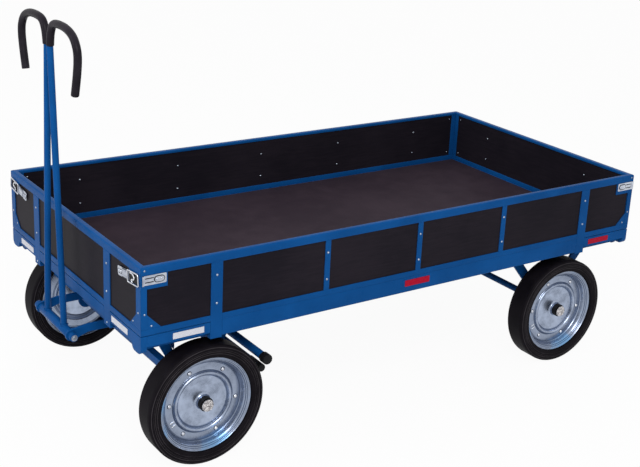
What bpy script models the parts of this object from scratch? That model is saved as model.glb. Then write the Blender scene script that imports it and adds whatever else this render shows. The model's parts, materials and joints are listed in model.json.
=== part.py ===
"""Platform hand cart: panelled walls, turntable steering, four disc wheels and a folding drawbar.

Metres, +Z up, +X towards the drawbar, +Y to the left. The origin is on the ground under the cart's middle.
"""
from math import asin, atan2, cos, hypot, pi, radians, sin

import bmesh
import bpy
from mathutils import Matrix, Vector

# Clearances
SEAT_GAP = 0.0003
MITRE_GAP = 0.0002
BEARING_GAP = 0.0005
CUT_OVERRUN = 0.002

# Platform frame and deck
PLATFORM_LENGTH = 2.000
PLATFORM_WIDTH = 1.000
FRAME_BOTTOM = 0.433
FRAME_DEPTH = 0.054
FRAME_SHEET = 0.004
FRAME_FLANGE = 0.030
DECK_LEDGE = 0.025
DECK_THICKNESS = 0.012
CROSS_WIDTH = 0.040
CROSS_SHEET = 0.003
LUG_WIDTH = 0.050
LUG_DROP = 0.015
LUG_THICKNESS = 0.012
LUG_RADIUS = 0.012

# Walls
WALL_STAND_OFF = 0.020
WALL_TOP = 0.700
TOP_RAIL = 0.025
BOTTOM_RAIL = 0.019
END_POST = 0.020
WALL_SHEET = 0.003
INNER_TOP_LIP = 0.011
INNER_END_LIP = 0.020
CORNER_CHAMFER = 0.045
STAKE_DROP = 0.059
SIDE_STAKE_INSET = 0.250
SIDE_STAKE_WIDTH = 0.040
SIDE_POST_SHARE = 0.482
SIDE_POST_WIDTH = 0.020
END_STAKE_INSET = 0.235
END_STAKE_WIDTH = 0.045
SKIRT_DROP = 0.055
SKIRT_SHEET = 0.003

# Corner latches
LATCH_PLATE_DROP = 0.043
SIDE_LATCH_PLATE = 0.086
END_LATCH_PLATE = 0.076
LATCH_THICKNESS = 0.006
LATCH_BASE = 0.002
LEVER_BELOW_RAIL = 0.011
LEVER_HEIGHT = 0.040
LEVER_START = 0.006
LEVER_LENGTH = 0.144
STRIKE_HEIGHT = 0.030
STRIKE_LENGTH = 0.078
STRIKE_START = 0.004
STRIKE_LIP = 0.010

# Wheels and axles
WHEEL_RADIUS = 0.200
WHEEL_INSET = 0.025
TYRE_WIDTH = 0.080
TYRE_SHOULDER = 0.010
TYRE_WALL_HOLLOW = 0.003
RIM_RADIUS = 0.1587
RIM_WIDTH = 0.062
RIM_SHEET = 0.004
RIM_BED_RADIUS = 0.150
HUB_RADIUS = 0.0225
HUB_WIDTH = 0.068
AXLE_RADIUS = 0.0125
AXLE_COLLAR_RADIUS = 0.018
AXLE_COLLAR_LENGTH = 0.010
AXLE_NUT_RADIUS = 0.0165
AXLE_NUT_LENGTH = 0.006
FRONT_AXLE_INSET = 0.210
REAR_AXLE_INSET = 0.283
BRACKET_THICKNESS = 0.010
FRONT_BRACKET_LEG = 0.030
REAR_BRACKET_LEG = 0.036
BRACKET_BOSS_RADIUS = 0.030
BRACKET_TYRE_ROOM = 0.014
FRONT_BRACKET_REACH = 0.108
REAR_BRACKET_REACH = 0.197

# Turntable and bogie
RING_OUTER = 0.150
RING_INNER = 0.100
RING_LIP = 0.012
RING_LIP_HEIGHT = 0.006
BOGIE_TOP = 0.400
BEAM_HEIGHT = 0.035
BEAM_WIDTH = 0.030
BEAM_SPREAD = 0.080
BRACE_SIZE = 0.025
BRACE_DROP = 0.023
TURNTABLE_CROSS_SPREAD = 0.130
FORK_HALF_WIDTH = 0.119
FORK_THICKNESS = 0.010
FORK_LAP = 0.004
FORK_BOSS_RADIUS = 0.019

# Drawbar
DRAWBAR_STAND_OFF = 0.052
PIVOT_HEIGHT = 0.342
CROSSBAR_RADIUS = 0.0155
PIVOT_PIN_RADIUS = 0.008
PIVOT_SLEEVE_RADIUS = 0.0135
PIVOT_SLEEVE_LENGTH = 0.022
PIVOT_NUT_RADIUS = 0.009
PIVOT_NUT_LENGTH = 0.006
TUBE_RADIUS = 0.0105
LEG_FOOT_SPREAD = 0.069
LEG_TOP_SPREAD = 0.0108
LEG_TOP_HEIGHT = 1.249
TIE_HEIGHT = 0.050
TIE_WIDTH = 0.020
TIE_THICKNESS = 0.010
GRIP_RADIUS = 0.0126
HOOK_REACH = 0.2215
HOOK_RISE = 0.0755
HOOK_FALL = 0.114

# Parking brake
BRAKE_PLACE_BEHIND_AXLE = 0.206
PEDAL_HEIGHT = 0.312
PEDAL_RADIUS = 0.012
PEDAL_STAND_OUT = 0.002
SHOE_DROP = 0.044
SHOE_RADIUS = 0.011
SHOE_PAST_TRACK = 0.013
BRAKE_PLATE_PLACE = 0.185
BRAKE_PLATE_THICKNESS = 0.008
CAP_WALL = 0.0025
CAP_LENGTH = 0.030

# Derived levels and faces
FRAME_TOP = FRAME_BOTTOM + FRAME_DEPTH
DECK_UNDERSIDE = FRAME_TOP - DECK_THICKNESS
LEDGE_TOP = DECK_UNDERSIDE - SEAT_GAP
CROSS_BOTTOM = FRAME_BOTTOM + FRAME_SHEET + SEAT_GAP
WALL_THICKNESS = WALL_STAND_OFF - SEAT_GAP
WALL_BOTTOM = FRAME_TOP
WALL_HEIGHT = WALL_TOP - WALL_BOTTOM
CART_LENGTH = PLATFORM_LENGTH + 2 * WALL_STAND_OFF
CART_WIDTH = PLATFORM_WIDTH + 2 * WALL_STAND_OFF
SIDE_STAKE_PLACE = CART_LENGTH / 2 - SIDE_STAKE_INSET
SIDE_POST_PLACE = SIDE_POST_SHARE * SIDE_STAKE_PLACE
END_STAKE_PLACE = CART_WIDTH / 2 - END_STAKE_INSET
FRONT_AXLE_PLACE = PLATFORM_LENGTH / 2 - FRONT_AXLE_INSET
REAR_AXLE_PLACE = REAR_AXLE_INSET - PLATFORM_LENGTH / 2
WHEEL_TRACK_HALF = PLATFORM_WIDTH / 2 - WHEEL_INSET
DRAWBAR_PLACE = CART_LENGTH / 2 + DRAWBAR_STAND_OFF
PEDAL_HALF_LENGTH = CART_WIDTH / 2 + PEDAL_STAND_OUT
SHOE_HALF_LENGTH = WHEEL_TRACK_HALF + SHOE_PAST_TRACK
SHOE_HEIGHT = PEDAL_HEIGHT - SHOE_DROP
WHEEL_INNER_FACE = WHEEL_TRACK_HALF - TYRE_WIDTH / 2
BRACKET_OUTER_FACE = WHEEL_INNER_FACE - BRACKET_TYRE_ROOM
BEAM_HALF_LENGTH = BRACKET_OUTER_FACE - BRACKET_THICKNESS - SEAT_GAP
BEAM_BOTTOM = BOGIE_TOP - BEAM_HEIGHT
BRACE_TOP = BEAM_BOTTOM - BRACE_DROP
BRACE_BOTTOM = BRACE_TOP - BRACE_SIZE
FORK_BOTTOM = BRACE_TOP + SEAT_GAP
FORK_TOP = BEAM_BOTTOM + FORK_LAP
RAIL_UNDERSIDE = WALL_TOP - TOP_RAIL
FRONT_REACH = DRAWBAR_PLACE + FORK_BOSS_RADIUS
REAR_REACH = CART_LENGTH / 2 + LATCH_THICKNESS
PLATFORM_SHIFT = (REAR_REACH - FRONT_REACH) / 2

# Facets
WHEEL_SIDES = 28
SHAFT_SIDES = 16
TUBE_SIDES = 12
RING_SIDES = 32
BOSS_STEPS = 12
ROUND_STEPS = 4
SMOOTH_ANGLE = radians(32)

PAINT_BLUE = ("painted_steel", (0.010, 0.105, 0.330), 0.35, 0.0)
ZINC = ("zinc_plate", (0.52, 0.56, 0.61), 0.30, 1.0)
RUBBER = ("solid_rubber", (0.015, 0.015, 0.017), 0.70, 0.0)
GRIP_PLASTIC = ("grip_sleeve", (0.020, 0.018, 0.024), 0.45, 0.0)
PLYWOOD = ("coated_plywood", (0.035, 0.026, 0.028), 0.55, 0.0)
STEEL = ("bright_steel", (0.42, 0.43, 0.45), 0.35, 1.0)


def clear_scene():
    """Remove every object that the file opened with."""
    for old in list(bpy.data.objects):
        bpy.data.objects.remove(old, do_unlink=True)


def finish_material(node, finish):
    """Give a node its own material from a named finish."""
    label, colour, roughness, metallic = finish
    made = bpy.data.materials.new(f"{label}_{node}")
    made.use_nodes = True
    shader = made.node_tree.nodes["Principled BSDF"]
    shader.inputs["Base Color"].default_value = (*colour, 1.0)
    shader.inputs["Roughness"].default_value = roughness
    shader.inputs["Metallic"].default_value = metallic
    made.diffuse_color = (*colour, 1.0)
    return made


def add_empty(name, place, parent=None):
    """Add an empty that carries pieces, for instance on a joint's axis."""
    empty = bpy.data.objects.new(name, None)
    bpy.context.scene.collection.objects.link(empty)
    empty.parent = parent
    empty.location = place
    return empty


def add_piece(name, body, finish, parent, place=(0, 0, 0), turn=0.0):
    """Turn a bmesh into a named object with its material, under its parent."""
    bmesh.ops.recalc_face_normals(body, faces=body.faces)
    mesh = bpy.data.meshes.new(name)
    body.to_mesh(mesh)
    body.free()
    mesh.shade_smooth()
    mesh.set_sharp_from_angle(angle=SMOOTH_ANGLE)
    mesh.materials.append(finish_material(name, finish))
    piece = bpy.data.objects.new(name, mesh)
    bpy.context.scene.collection.objects.link(piece)
    piece.parent = parent
    piece.location = place
    piece.rotation_euler = (0, 0, turn)
    return piece


def add_tool(body):
    """Put a bmesh into the scene as a hidden shape for one Boolean."""
    bmesh.ops.recalc_face_normals(body, faces=body.faces)
    mesh = bpy.data.meshes.new("tool")
    body.to_mesh(mesh)
    body.free()
    tool = bpy.data.objects.new("tool", mesh)
    bpy.context.scene.collection.objects.link(tool)
    tool.hide_render = True
    tool.display_type = "WIRE"
    return tool


def combined(base, shapes, operation):
    """Apply one Boolean after another to a bmesh and return the result."""
    target = add_tool(base)
    for shape in shapes:
        tool = add_tool(shape)
        step = target.modifiers.new("step", "BOOLEAN")
        step.operation = operation
        step.solver = "EXACT"
        step.object = tool
    bpy.context.view_layer.update()
    graph = bpy.context.evaluated_depsgraph_get()
    result = bmesh.new()
    result.from_mesh(target.evaluated_get(graph).to_mesh())
    tools = [step.object for step in target.modifiers]
    for spent in [target, *tools]:
        bpy.data.objects.remove(spent, do_unlink=True)
    return result


def circle_points(centre, radius, sides, start=0.0, sweep=2 * pi):
    """Points along an arc; a full circle leaves out the closing point."""
    full = abs(sweep) >= 2 * pi
    count = sides if full else sides + 1
    return [(centre[0] + radius * cos(start + sweep * k / sides),
             centre[1] + radius * sin(start + sweep * k / sides)) for k in range(count)]


def plate(outline, thickness, holes=(), near=0.0):
    """Extrude an outline in X and Z, with holes, along Y from near to near + thickness."""
    body = bmesh.new()
    edges = []
    for loop in (outline, *holes):
        corners = [body.verts.new((x, near, z)) for x, z in loop]
        edges += [body.edges.new((corners[k - 1], corners[k])) for k in range(len(corners))]
    bmesh.ops.triangle_fill(body, edges=edges, use_beauty=True)
    grown = bmesh.ops.extrude_face_region(body, geom=list(body.faces))["geom"]
    moved = [item for item in grown if isinstance(item, bmesh.types.BMVert)]
    bmesh.ops.translate(body, verts=moved, vec=(0, thickness, 0))
    return body


def block(low, high):
    """A rectangular body between two corners."""
    outline = [(low[0], low[2]), (high[0], low[2]), (high[0], high[2]), (low[0], high[2])]
    return plate(outline, high[1] - low[1], near=low[1])


def swept_rings(rings, closed):
    """Join rings of points into a skin, closed on itself or capped at both ends."""
    body = bmesh.new()
    made = [[body.verts.new(point) for point in ring] for ring in rings]
    pairs = list(zip(made, made[1:]))
    if closed:
        pairs.append((made[-1], made[0]))
    for first, second in pairs:
        for k in range(len(first)):
            body.faces.new((first[k - 1], first[k], second[k], second[k - 1]))
    if not closed:
        body.faces.new(made[0])
        body.faces.new(list(reversed(made[-1])))
    return body


def turned(profile, sides, closed=False):
    """Revolve radius and place pairs about the Y axis; a closed profile makes a ring."""
    turns = [2 * pi * k / sides for k in range(sides)]
    rings = [[(radius * cos(turn), along, radius * sin(turn)) for turn in turns] for radius, along in profile]
    return swept_rings(rings, closed)


def turned_upright(profile, sides, closed=False):
    """Revolve radius and height pairs about the Z axis."""
    body = turned(profile, sides, closed)
    bmesh.ops.rotate(body, verts=body.verts, matrix=Matrix.Rotation(pi / 2, 3, "X"))
    return body


def tube_along(path, radius, sides, level=()):
    """Sweep a round section along a path of Y and Z points, level at the numbers in level."""
    rings = []
    for k, (y, z) in enumerate(path):
        before = Vector(path[max(k - 1, 0)])
        after = Vector(path[min(k + 1, len(path) - 1)])
        along = Vector((0, 1)) if k in level else (after - before).normalized()
        rings.append([(radius * cos(2 * pi * n / sides),
                       y - radius * sin(2 * pi * n / sides) * along.y,
                       z + radius * sin(2 * pi * n / sides) * along.x) for n in range(sides)])
    return swept_rings(rings, closed=False)


def smooth_path(points, steps):
    """A Catmull-Rom curve through points, with a number of steps in each span."""
    ends = [points[0], *points, points[-1]]
    path = []
    for a, b, c, d in zip(ends, ends[1:], ends[2:], ends[3:]):
        a, b, c, d = Vector(a), Vector(b), Vector(c), Vector(d)
        for k in range(steps):
            t = k / steps
            spot = 0.5 * ((2 * b) + (c - a) * t + (2 * a - 5 * b + 4 * c - d) * t ** 2
                          + (3 * b - a - 3 * c + d) * t ** 3)
            path.append(tuple(spot))
    path.append(tuple(points[-1]))
    return path


def mitred_bar(profile, half_length):
    """A bar along X with a section of inward depth and height pairs and mitred ends."""
    rings = [[(end * (half_length - depth - MITRE_GAP), -depth, height) for depth, height in profile]
             for end in (-1, 1)]
    return swept_rings(rings, closed=False)


def channel_outline(centre, width, bottom, top, sheet):
    """Outline of a channel that is open below."""
    outer, inner = width / 2, width / 2 - sheet
    return [(centre - outer, bottom), (centre - outer, top), (centre + outer, top), (centre + outer, bottom),
            (centre + inner, bottom), (centre + inner, top - sheet), (centre - inner, top - sheet),
            (centre - inner, bottom)]


def lug_shapes(half_length):
    """Two lugs with round lower corners that hang below an end rail."""
    shapes = []
    low = FRAME_BOTTOM - LUG_DROP
    for end in (-1, 1):
        outer = half_length - LUG_THICKNESS - MITRE_GAP - SEAT_GAP
        inner = half_length - LUG_WIDTH
        height = low + LUG_RADIUS
        right = circle_points((outer - LUG_RADIUS, height), LUG_RADIUS, ROUND_STEPS, 0, -pi / 2)
        left = circle_points((inner + LUG_RADIUS, height), LUG_RADIUS, ROUND_STEPS, -pi / 2, -pi / 2)
        root = FRAME_BOTTOM + 2 * FRAME_SHEET
        outline = [(inner, root), (outer, root), *right, *left]
        placed = [(end * x, z) for x, z in outline]
        depth = LUG_THICKNESS - SEAT_GAP
        shapes.append(plate(placed, depth, near=-LUG_THICKNESS))
    return shapes


def rail_section():
    """Section of the platform's edge rail: a channel with a ledge for the deck."""
    return [(0, FRAME_BOTTOM), (FRAME_FLANGE, FRAME_BOTTOM), (FRAME_FLANGE, FRAME_BOTTOM + FRAME_SHEET),
            (FRAME_SHEET, FRAME_BOTTOM + FRAME_SHEET), (FRAME_SHEET, LEDGE_TOP - FRAME_SHEET),
            (DECK_LEDGE, LEDGE_TOP - FRAME_SHEET), (DECK_LEDGE, LEDGE_TOP), (FRAME_SHEET, LEDGE_TOP),
            (FRAME_SHEET, FRAME_TOP), (0, FRAME_TOP)]


def build_frame(cart):
    """Edge rails, with lugs at the corners of the end rails."""
    section = rail_section()
    for name, side, turn in (("side_rail_left", 1, 0.0), ("side_rail_right", -1, pi)):
        body = mitred_bar(section, PLATFORM_LENGTH / 2)
        add_piece(name, body, PAINT_BLUE, cart, (0, side * PLATFORM_WIDTH / 2, 0), turn)
    for name, side, turn in (("end_rail_front", 1, -pi / 2), ("end_rail_rear", -1, pi / 2)):
        body = mitred_bar(section, PLATFORM_WIDTH / 2)
        body = combined(body, lug_shapes(PLATFORM_WIDTH / 2), "UNION")
        add_piece(name, body, PAINT_BLUE, cart, (side * PLATFORM_LENGTH / 2, 0, 0), turn)


def cross_places():
    """Places of the cross members: two at the turntable, two at the rear axle, the rest evenly between."""
    ahead = [FRONT_AXLE_PLACE + TURNTABLE_CROSS_SPREAD, FRONT_AXLE_PLACE - TURNTABLE_CROSS_SPREAD]
    behind = [REAR_AXLE_PLACE + REAR_BRACKET_REACH, REAR_AXLE_PLACE - REAR_BRACKET_REACH]
    span = ahead[1] - behind[0]
    middle = [ahead[1] - span / 3, ahead[1] - 2 * span / 3]
    return [*ahead, *middle, *behind]


def build_cross_members(cart):
    """Channels that run between the ledges and carry the deck, the turntable and the rear axle."""
    half = PLATFORM_WIDTH / 2 - DECK_LEDGE - SEAT_GAP
    for number, place in enumerate(cross_places(), 1):
        outline = channel_outline(place, CROSS_WIDTH, CROSS_BOTTOM, LEDGE_TOP, CROSS_SHEET)
        body = plate(outline, 2 * half, near=-half)
        add_piece(f"cross_member_{number}", body, PAINT_BLUE, cart)


def build_deck(cart):
    """The plywood sheet in its ledge."""
    half_x = PLATFORM_LENGTH / 2 - FRAME_SHEET - SEAT_GAP
    half_y = PLATFORM_WIDTH / 2 - FRAME_SHEET - SEAT_GAP
    body = block((-half_x, -half_y, DECK_UNDERSIDE), (half_x, half_y, FRAME_TOP))
    add_piece("deck", body, PLYWOOD, cart)


def wall_outline(half_length, stake_place, stake_width):
    """Outline of a wall with its two stakes reaching down over the frame."""
    foot = WALL_TOP - WALL_HEIGHT - STAKE_DROP
    outline = [(-half_length, WALL_TOP), (-half_length, WALL_BOTTOM)]
    for side in (-1, 1):
        low, high = side * stake_place - stake_width / 2, side * stake_place + stake_width / 2
        outline += [(low, WALL_BOTTOM), (low, foot), (high, foot), (high, WALL_BOTTOM)]
    return outline + [(half_length, WALL_BOTTOM), (half_length, WALL_TOP)]


def window_outlines(half_length, posts, latch_plate):
    """Openings between the posts; the end ones leave the latch plates and the corner gussets."""
    low, high = WALL_BOTTOM + BOTTOM_RAIL, RAIL_UNDERSIDE
    shelf, step = high - LATCH_PLATE_DROP, half_length - latch_plate
    edges = [-half_length + END_POST]
    for place, width in sorted(posts):
        edges += [place - width / 2, place + width / 2]
    edges.append(half_length - END_POST)
    outlines = []
    for number in range(0, len(edges), 2):
        left, right = edges[number], edges[number + 1]
        last, first = number + 2 == len(edges), number == 0
        outline = [(left, shelf), (-step, shelf), (-step, high)] if first else [(left, high)]
        outline += [(step, high), (step, shelf), (right, shelf)] if last else [(right, high)]
        outline += [(right, low + CORNER_CHAMFER), (right - CORNER_CHAMFER, low)] if last else [(right, low)]
        outline += [(left + CORNER_CHAMFER, low), (left, low + CORNER_CHAMFER)] if first else [(left, low)]
        outlines.append(outline)
    return outlines


def wall_frame(length, posts, stake_place, stake_width, latch_plate):
    """A welded wall frame: outer skin with windows, a slot for the panel and an inner lip all round."""
    half = length / 2 - MITRE_GAP
    body = plate(wall_outline(half, stake_place, stake_width), WALL_THICKNESS, near=-WALL_THICKNESS)
    for corner in body.verts:
        if abs(corner.co.x) > half - SEAT_GAP and corner.co.y < -WALL_THICKNESS / 2:
            corner.co.x -= WALL_THICKNESS if corner.co.x > 0 else -WALL_THICKNESS
    slot_half = half - WALL_THICKNESS - WALL_SHEET
    slot = block((-slot_half, -WALL_THICKNESS + WALL_SHEET, WALL_BOTTOM + WALL_SHEET),
                 (slot_half, -WALL_SHEET, WALL_TOP - WALL_SHEET))
    lip_half = half - WALL_THICKNESS - INNER_END_LIP
    inside = block((-lip_half, -WALL_THICKNESS - CUT_OVERRUN, WALL_BOTTOM + BOTTOM_RAIL),
                   (lip_half, -WALL_THICKNESS / 2, WALL_TOP - INNER_TOP_LIP))
    windows = [plate(outline, WALL_THICKNESS / 2 + CUT_OVERRUN, near=-WALL_THICKNESS / 2)
               for outline in window_outlines(half, posts, latch_plate)]
    return combined(body, [slot, inside, *windows], "DIFFERENCE")


def wall_panel(length):
    """The plywood sheet that sits in a wall frame's slot."""
    half = length / 2 - MITRE_GAP - WALL_THICKNESS - WALL_SHEET - SEAT_GAP
    low = (-half, -WALL_THICKNESS + WALL_SHEET + SEAT_GAP, WALL_BOTTOM + WALL_SHEET + SEAT_GAP)
    return block(low, (half, -WALL_SHEET - SEAT_GAP, WALL_TOP - WALL_SHEET - SEAT_GAP))


def build_walls(cart):
    """Four walls that stand outside the platform frame."""
    side_posts = [(place, SIDE_POST_WIDTH) for place in (-SIDE_POST_PLACE, 0.0, SIDE_POST_PLACE)]
    side_posts += [(side * SIDE_STAKE_PLACE, SIDE_STAKE_WIDTH) for side in (-1, 1)]
    end_posts = [(side * END_STAKE_PLACE, END_STAKE_WIDTH) for side in (-1, 1)]
    for name, side, turn in (("left", 1, 0.0), ("right", -1, pi)):
        place = (0, side * CART_WIDTH / 2, 0)
        body = wall_frame(CART_LENGTH, side_posts, SIDE_STAKE_PLACE, SIDE_STAKE_WIDTH, SIDE_LATCH_PLATE)
        add_piece(f"wall_frame_{name}", body, PAINT_BLUE, cart, place, turn)
        add_piece(f"wall_panel_{name}", wall_panel(CART_LENGTH), PLYWOOD, cart, place, turn)
        add_piece(f"side_skirt_{name}", side_skirt(), PAINT_BLUE, cart, place, turn)
    for name, side, turn in (("front", 1, -pi / 2), ("rear", -1, pi / 2)):
        place = (side * CART_LENGTH / 2, 0, 0)
        body = wall_frame(CART_WIDTH, end_posts, END_STAKE_PLACE, END_STAKE_WIDTH, END_LATCH_PLATE)
        add_piece(f"wall_frame_{name}", body, PAINT_BLUE, cart, place, turn)
        add_piece(f"wall_panel_{name}", wall_panel(CART_WIDTH), PLYWOOD, cart, place, turn)


def side_skirt():
    """The deep channel between the stakes of a long side."""
    top, bottom = WALL_BOTTOM - SEAT_GAP, WALL_BOTTOM - SKIRT_DROP
    section = [(0, bottom), (WALL_THICKNESS, bottom), (WALL_THICKNESS, bottom + SKIRT_SHEET),
               (SKIRT_SHEET, bottom + SKIRT_SHEET), (SKIRT_SHEET, top - SKIRT_SHEET),
               (WALL_THICKNESS, top - SKIRT_SHEET), (WALL_THICKNESS, top), (0, top)]
    half = SIDE_STAKE_PLACE - SIDE_STAKE_WIDTH / 2 - SEAT_GAP
    rings = [[(end * half, -depth, height) for depth, height in section] for end in (-1, 1)]
    return swept_rings(rings, closed=False)


def laid_flat(body, bottom):
    """Turn a plate's outline from X and Z to X and Y, with its lower face at a height."""
    bmesh.ops.rotate(body, verts=body.verts, matrix=Matrix.Rotation(pi / 2, 3, "X"))
    bmesh.ops.scale(body, verts=body.verts, vec=(1, -1, 1))
    bmesh.ops.translate(body, verts=body.verts, vec=(0, 0, bottom))
    return body


def lever_shares():
    """Shares of the lever's length and height along its outer face, from the corner inwards."""
    return [(0.0, 0.55), (0.06, 1.0), (0.34, 1.0), (0.42, 0.62), (0.90, 0.50), (1.0, 0.33)]


def latch_lever():
    """Toggle lever on an end wall, lying flat; its near end is at the corner."""
    bottom = RAIL_UNDERSIDE - LEVER_BELOW_RAIL - LEVER_HEIGHT
    depth = LATCH_THICKNESS - SEAT_GAP
    face = [(share * LEVER_LENGTH, SEAT_GAP + rise * depth) for share, rise in lever_shares()]
    outline = [(0, SEAT_GAP), *face, (LEVER_LENGTH, SEAT_GAP)]
    return laid_flat(plate(outline, LEVER_HEIGHT), bottom)


def latch_strike():
    """Strike plate on a side wall, with a lip for the bail next to the corner."""
    bottom = RAIL_UNDERSIDE - STRIKE_HEIGHT
    outline = [(0, SEAT_GAP), (0, LATCH_THICKNESS), (STRIKE_LIP / 2, LATCH_THICKNESS),
               (STRIKE_LIP, LATCH_BASE), (STRIKE_LENGTH, LATCH_BASE), (STRIKE_LENGTH, SEAT_GAP)]
    return laid_flat(plate(outline, STRIKE_HEIGHT), bottom)


def mirrored(body):
    """Mirror a body from right to left along X."""
    bmesh.ops.scale(body, verts=body.verts, vec=(-1, 1, 1))
    bmesh.ops.reverse_faces(body, faces=body.faces)
    return body


def build_latches(cart):
    """A lever on the end wall and a strike on the side wall at each corner."""
    for end_name, end in (("front", 1), ("rear", -1)):
        for side_name, side in (("left", 1), ("right", -1)):
            label = f"{end_name}_{side_name}"
            lever = latch_lever()
            bmesh.ops.translate(lever, verts=lever.verts, vec=(LEVER_START - CART_WIDTH / 2, 0, 0))
            if end * side < 0:
                lever = mirrored(lever)
            add_piece(f"latch_lever_{label}", lever, ZINC, cart, (end * CART_LENGTH / 2, 0, 0), -end * pi / 2)
            strike = latch_strike()
            bmesh.ops.translate(strike, verts=strike.verts, vec=(STRIKE_START - CART_LENGTH / 2, 0, 0))
            if end * side > 0:
                strike = mirrored(strike)
            turn = 0.0 if side > 0 else pi
            add_piece(f"latch_strike_{label}", strike, ZINC, cart, (0, side * CART_WIDTH / 2, 0), turn)


def tyre_profile():
    """Section of the solid tyre, outer face towards +Y."""
    half, bore = TYRE_WIDTH / 2, RIM_BED_RADIUS + SEAT_GAP
    wall = half - TYRE_WALL_HOLLOW
    edge = WHEEL_RADIUS - TYRE_SHOULDER
    bead = RIM_WIDTH / 2 - RIM_SHEET - SEAT_GAP
    lip = RIM_RADIUS + SEAT_GAP
    round_off = (WHEEL_RADIUS - TYRE_SHOULDER / 4, half - TYRE_SHOULDER / 3)
    right = [(bore, bead), (lip, bead), (lip, wall), (edge - TYRE_WALL_HOLLOW, half), round_off,
             (WHEEL_RADIUS, half - TYRE_SHOULDER)]
    left = [(radius, -along) for radius, along in reversed(right)]
    return right + left


def rim_shares():
    """Shares of the rim's radius and of its half width along the pressed disc's outer face."""
    return [(0.900, 0.52), (0.822, 0.16), (0.655, 0.16), (0.625, 0.36), (0.575, 0.36), (0.545, 0.14)]


def rim_profile():
    """Section of the pressed rim: lips, tyre bed, disc with its raised ring, and hub."""
    half = RIM_WIDTH / 2
    bed = RIM_BED_RADIUS
    face = [(radius * RIM_RADIUS, along * half) for radius, along in rim_shares()]
    back = [(radius, along - RIM_SHEET) for radius, along in reversed(face)]
    disc = face[-1][1]
    hub = HUB_WIDTH / 2
    bore = AXLE_RADIUS + BEARING_GAP
    outside = [(bed, half - RIM_SHEET), (RIM_RADIUS, half - RIM_SHEET), (RIM_RADIUS, half),
               (bed - RIM_SHEET, half), *face, (HUB_RADIUS, disc), (HUB_RADIUS, hub), (bore, hub)]
    inside = [(bore, -hub), (HUB_RADIUS, -hub), (HUB_RADIUS, disc - RIM_SHEET), *back,
              (bed - RIM_SHEET, -half), (RIM_RADIUS, -half), (RIM_RADIUS, RIM_SHEET - half),
              (bed, RIM_SHEET - half)]
    return outside + inside


def build_wheel(label, parent, side):
    """Tyre and rim of one wheel, on the wheel's own axis."""
    turn = 0.0 if side > 0 else pi
    add_piece(f"tyre_{label}", turned(tyre_profile(), WHEEL_SIDES, closed=True), RUBBER, parent, turn=turn)
    add_piece(f"rim_{label}", turned(rim_profile(), WHEEL_SIDES, closed=True), ZINC, parent, turn=turn)


def axle_profile():
    """Radii along an axle: nuts, journals in the hubs, collars and the round beam between them."""
    inner = WHEEL_TRACK_HALF - HUB_WIDTH / 2 - BEARING_GAP
    outer = WHEEL_TRACK_HALF + HUB_WIDTH / 2 + BEARING_GAP
    right = [(AXLE_RADIUS, inner - AXLE_COLLAR_LENGTH), (AXLE_COLLAR_RADIUS, inner - AXLE_COLLAR_LENGTH),
             (AXLE_COLLAR_RADIUS, inner), (AXLE_RADIUS, inner), (AXLE_RADIUS, outer),
             (AXLE_NUT_RADIUS, outer), (AXLE_NUT_RADIUS, outer + AXLE_NUT_LENGTH / 2),
             (AXLE_RADIUS, outer + AXLE_NUT_LENGTH)]
    left = [(radius, -along) for radius, along in reversed(right)]
    return left + right


def bracket_outline(spread, top, leg):
    """A V of two legs that meet in a round boss at the axle."""
    drop = top - WHEEL_RADIUS
    lean = atan2(spread, drop)
    cut = leg / cos(lean)
    apex = top - (spread - cut / 2) * drop / spread
    inset = asin(leg / 2 / BRACKET_BOSS_RADIUS)
    start = pi / 2 - lean - inset
    boss = circle_points((0, WHEEL_RADIUS), BRACKET_BOSS_RADIUS, BOSS_STEPS, start, -pi - 2 * start)
    return [(-spread - cut / 2, top), (-spread + cut / 2, top), (0, apex), (spread - cut / 2, top),
            (spread + cut / 2, top), *boss]


def axle_bracket(spread, top, leg):
    """A flat V bracket with a hole for the axle."""
    hole = circle_points((0, WHEEL_RADIUS), AXLE_RADIUS + SEAT_GAP, SHAFT_SIDES)
    outline = bracket_outline(spread, top, leg)
    return plate(outline, BRACKET_THICKNESS, holes=(hole,), near=-BRACKET_THICKNESS / 2)


def build_axle(label, parent, spread, top, leg):
    """An axle and the two brackets that carry it."""
    add_piece(f"{label}_axle", turned(axle_profile(), SHAFT_SIDES), STEEL, parent, (0, 0, WHEEL_RADIUS))
    middle = BRACKET_OUTER_FACE - BRACKET_THICKNESS / 2
    for side_name, side in (("left", 1), ("right", -1)):
        add_piece(f"{label}_axle_bracket_{side_name}", axle_bracket(spread, top, leg), PAINT_BLUE,
                  parent, (0, side * middle, 0))


def ring_profile(bottom, top, lip_low):
    """Section of a turntable ring with a thin outer lip at its lower or upper edge."""
    step = RING_OUTER - RING_LIP
    if lip_low:
        shelf = bottom + RING_LIP_HEIGHT
        outer = [(RING_OUTER, bottom), (RING_OUTER, shelf), (step, shelf), (step, top)]
    else:
        shelf = top - RING_LIP_HEIGHT
        outer = [(step, bottom), (step, shelf), (RING_OUTER, shelf), (RING_OUTER, top)]
    return [(RING_INNER, top), (RING_INNER, bottom), *outer]


def build_turntable(cart, bogie):
    """Two rings: one under the platform, one on the bogie."""
    low, high = BOGIE_TOP + SEAT_GAP, CROSS_BOTTOM - SEAT_GAP
    middle = (low + high) / 2
    upper = turned_upright(ring_profile(middle + BEARING_GAP / 2, high, False), RING_SIDES, closed=True)
    add_piece("turntable_upper", upper, ZINC, cart, (FRONT_AXLE_PLACE, 0, 0))
    lower = turned_upright(ring_profile(low, middle - BEARING_GAP / 2, True), RING_SIDES, closed=True)
    add_piece("turntable_lower", lower, ZINC, bogie)


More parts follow.
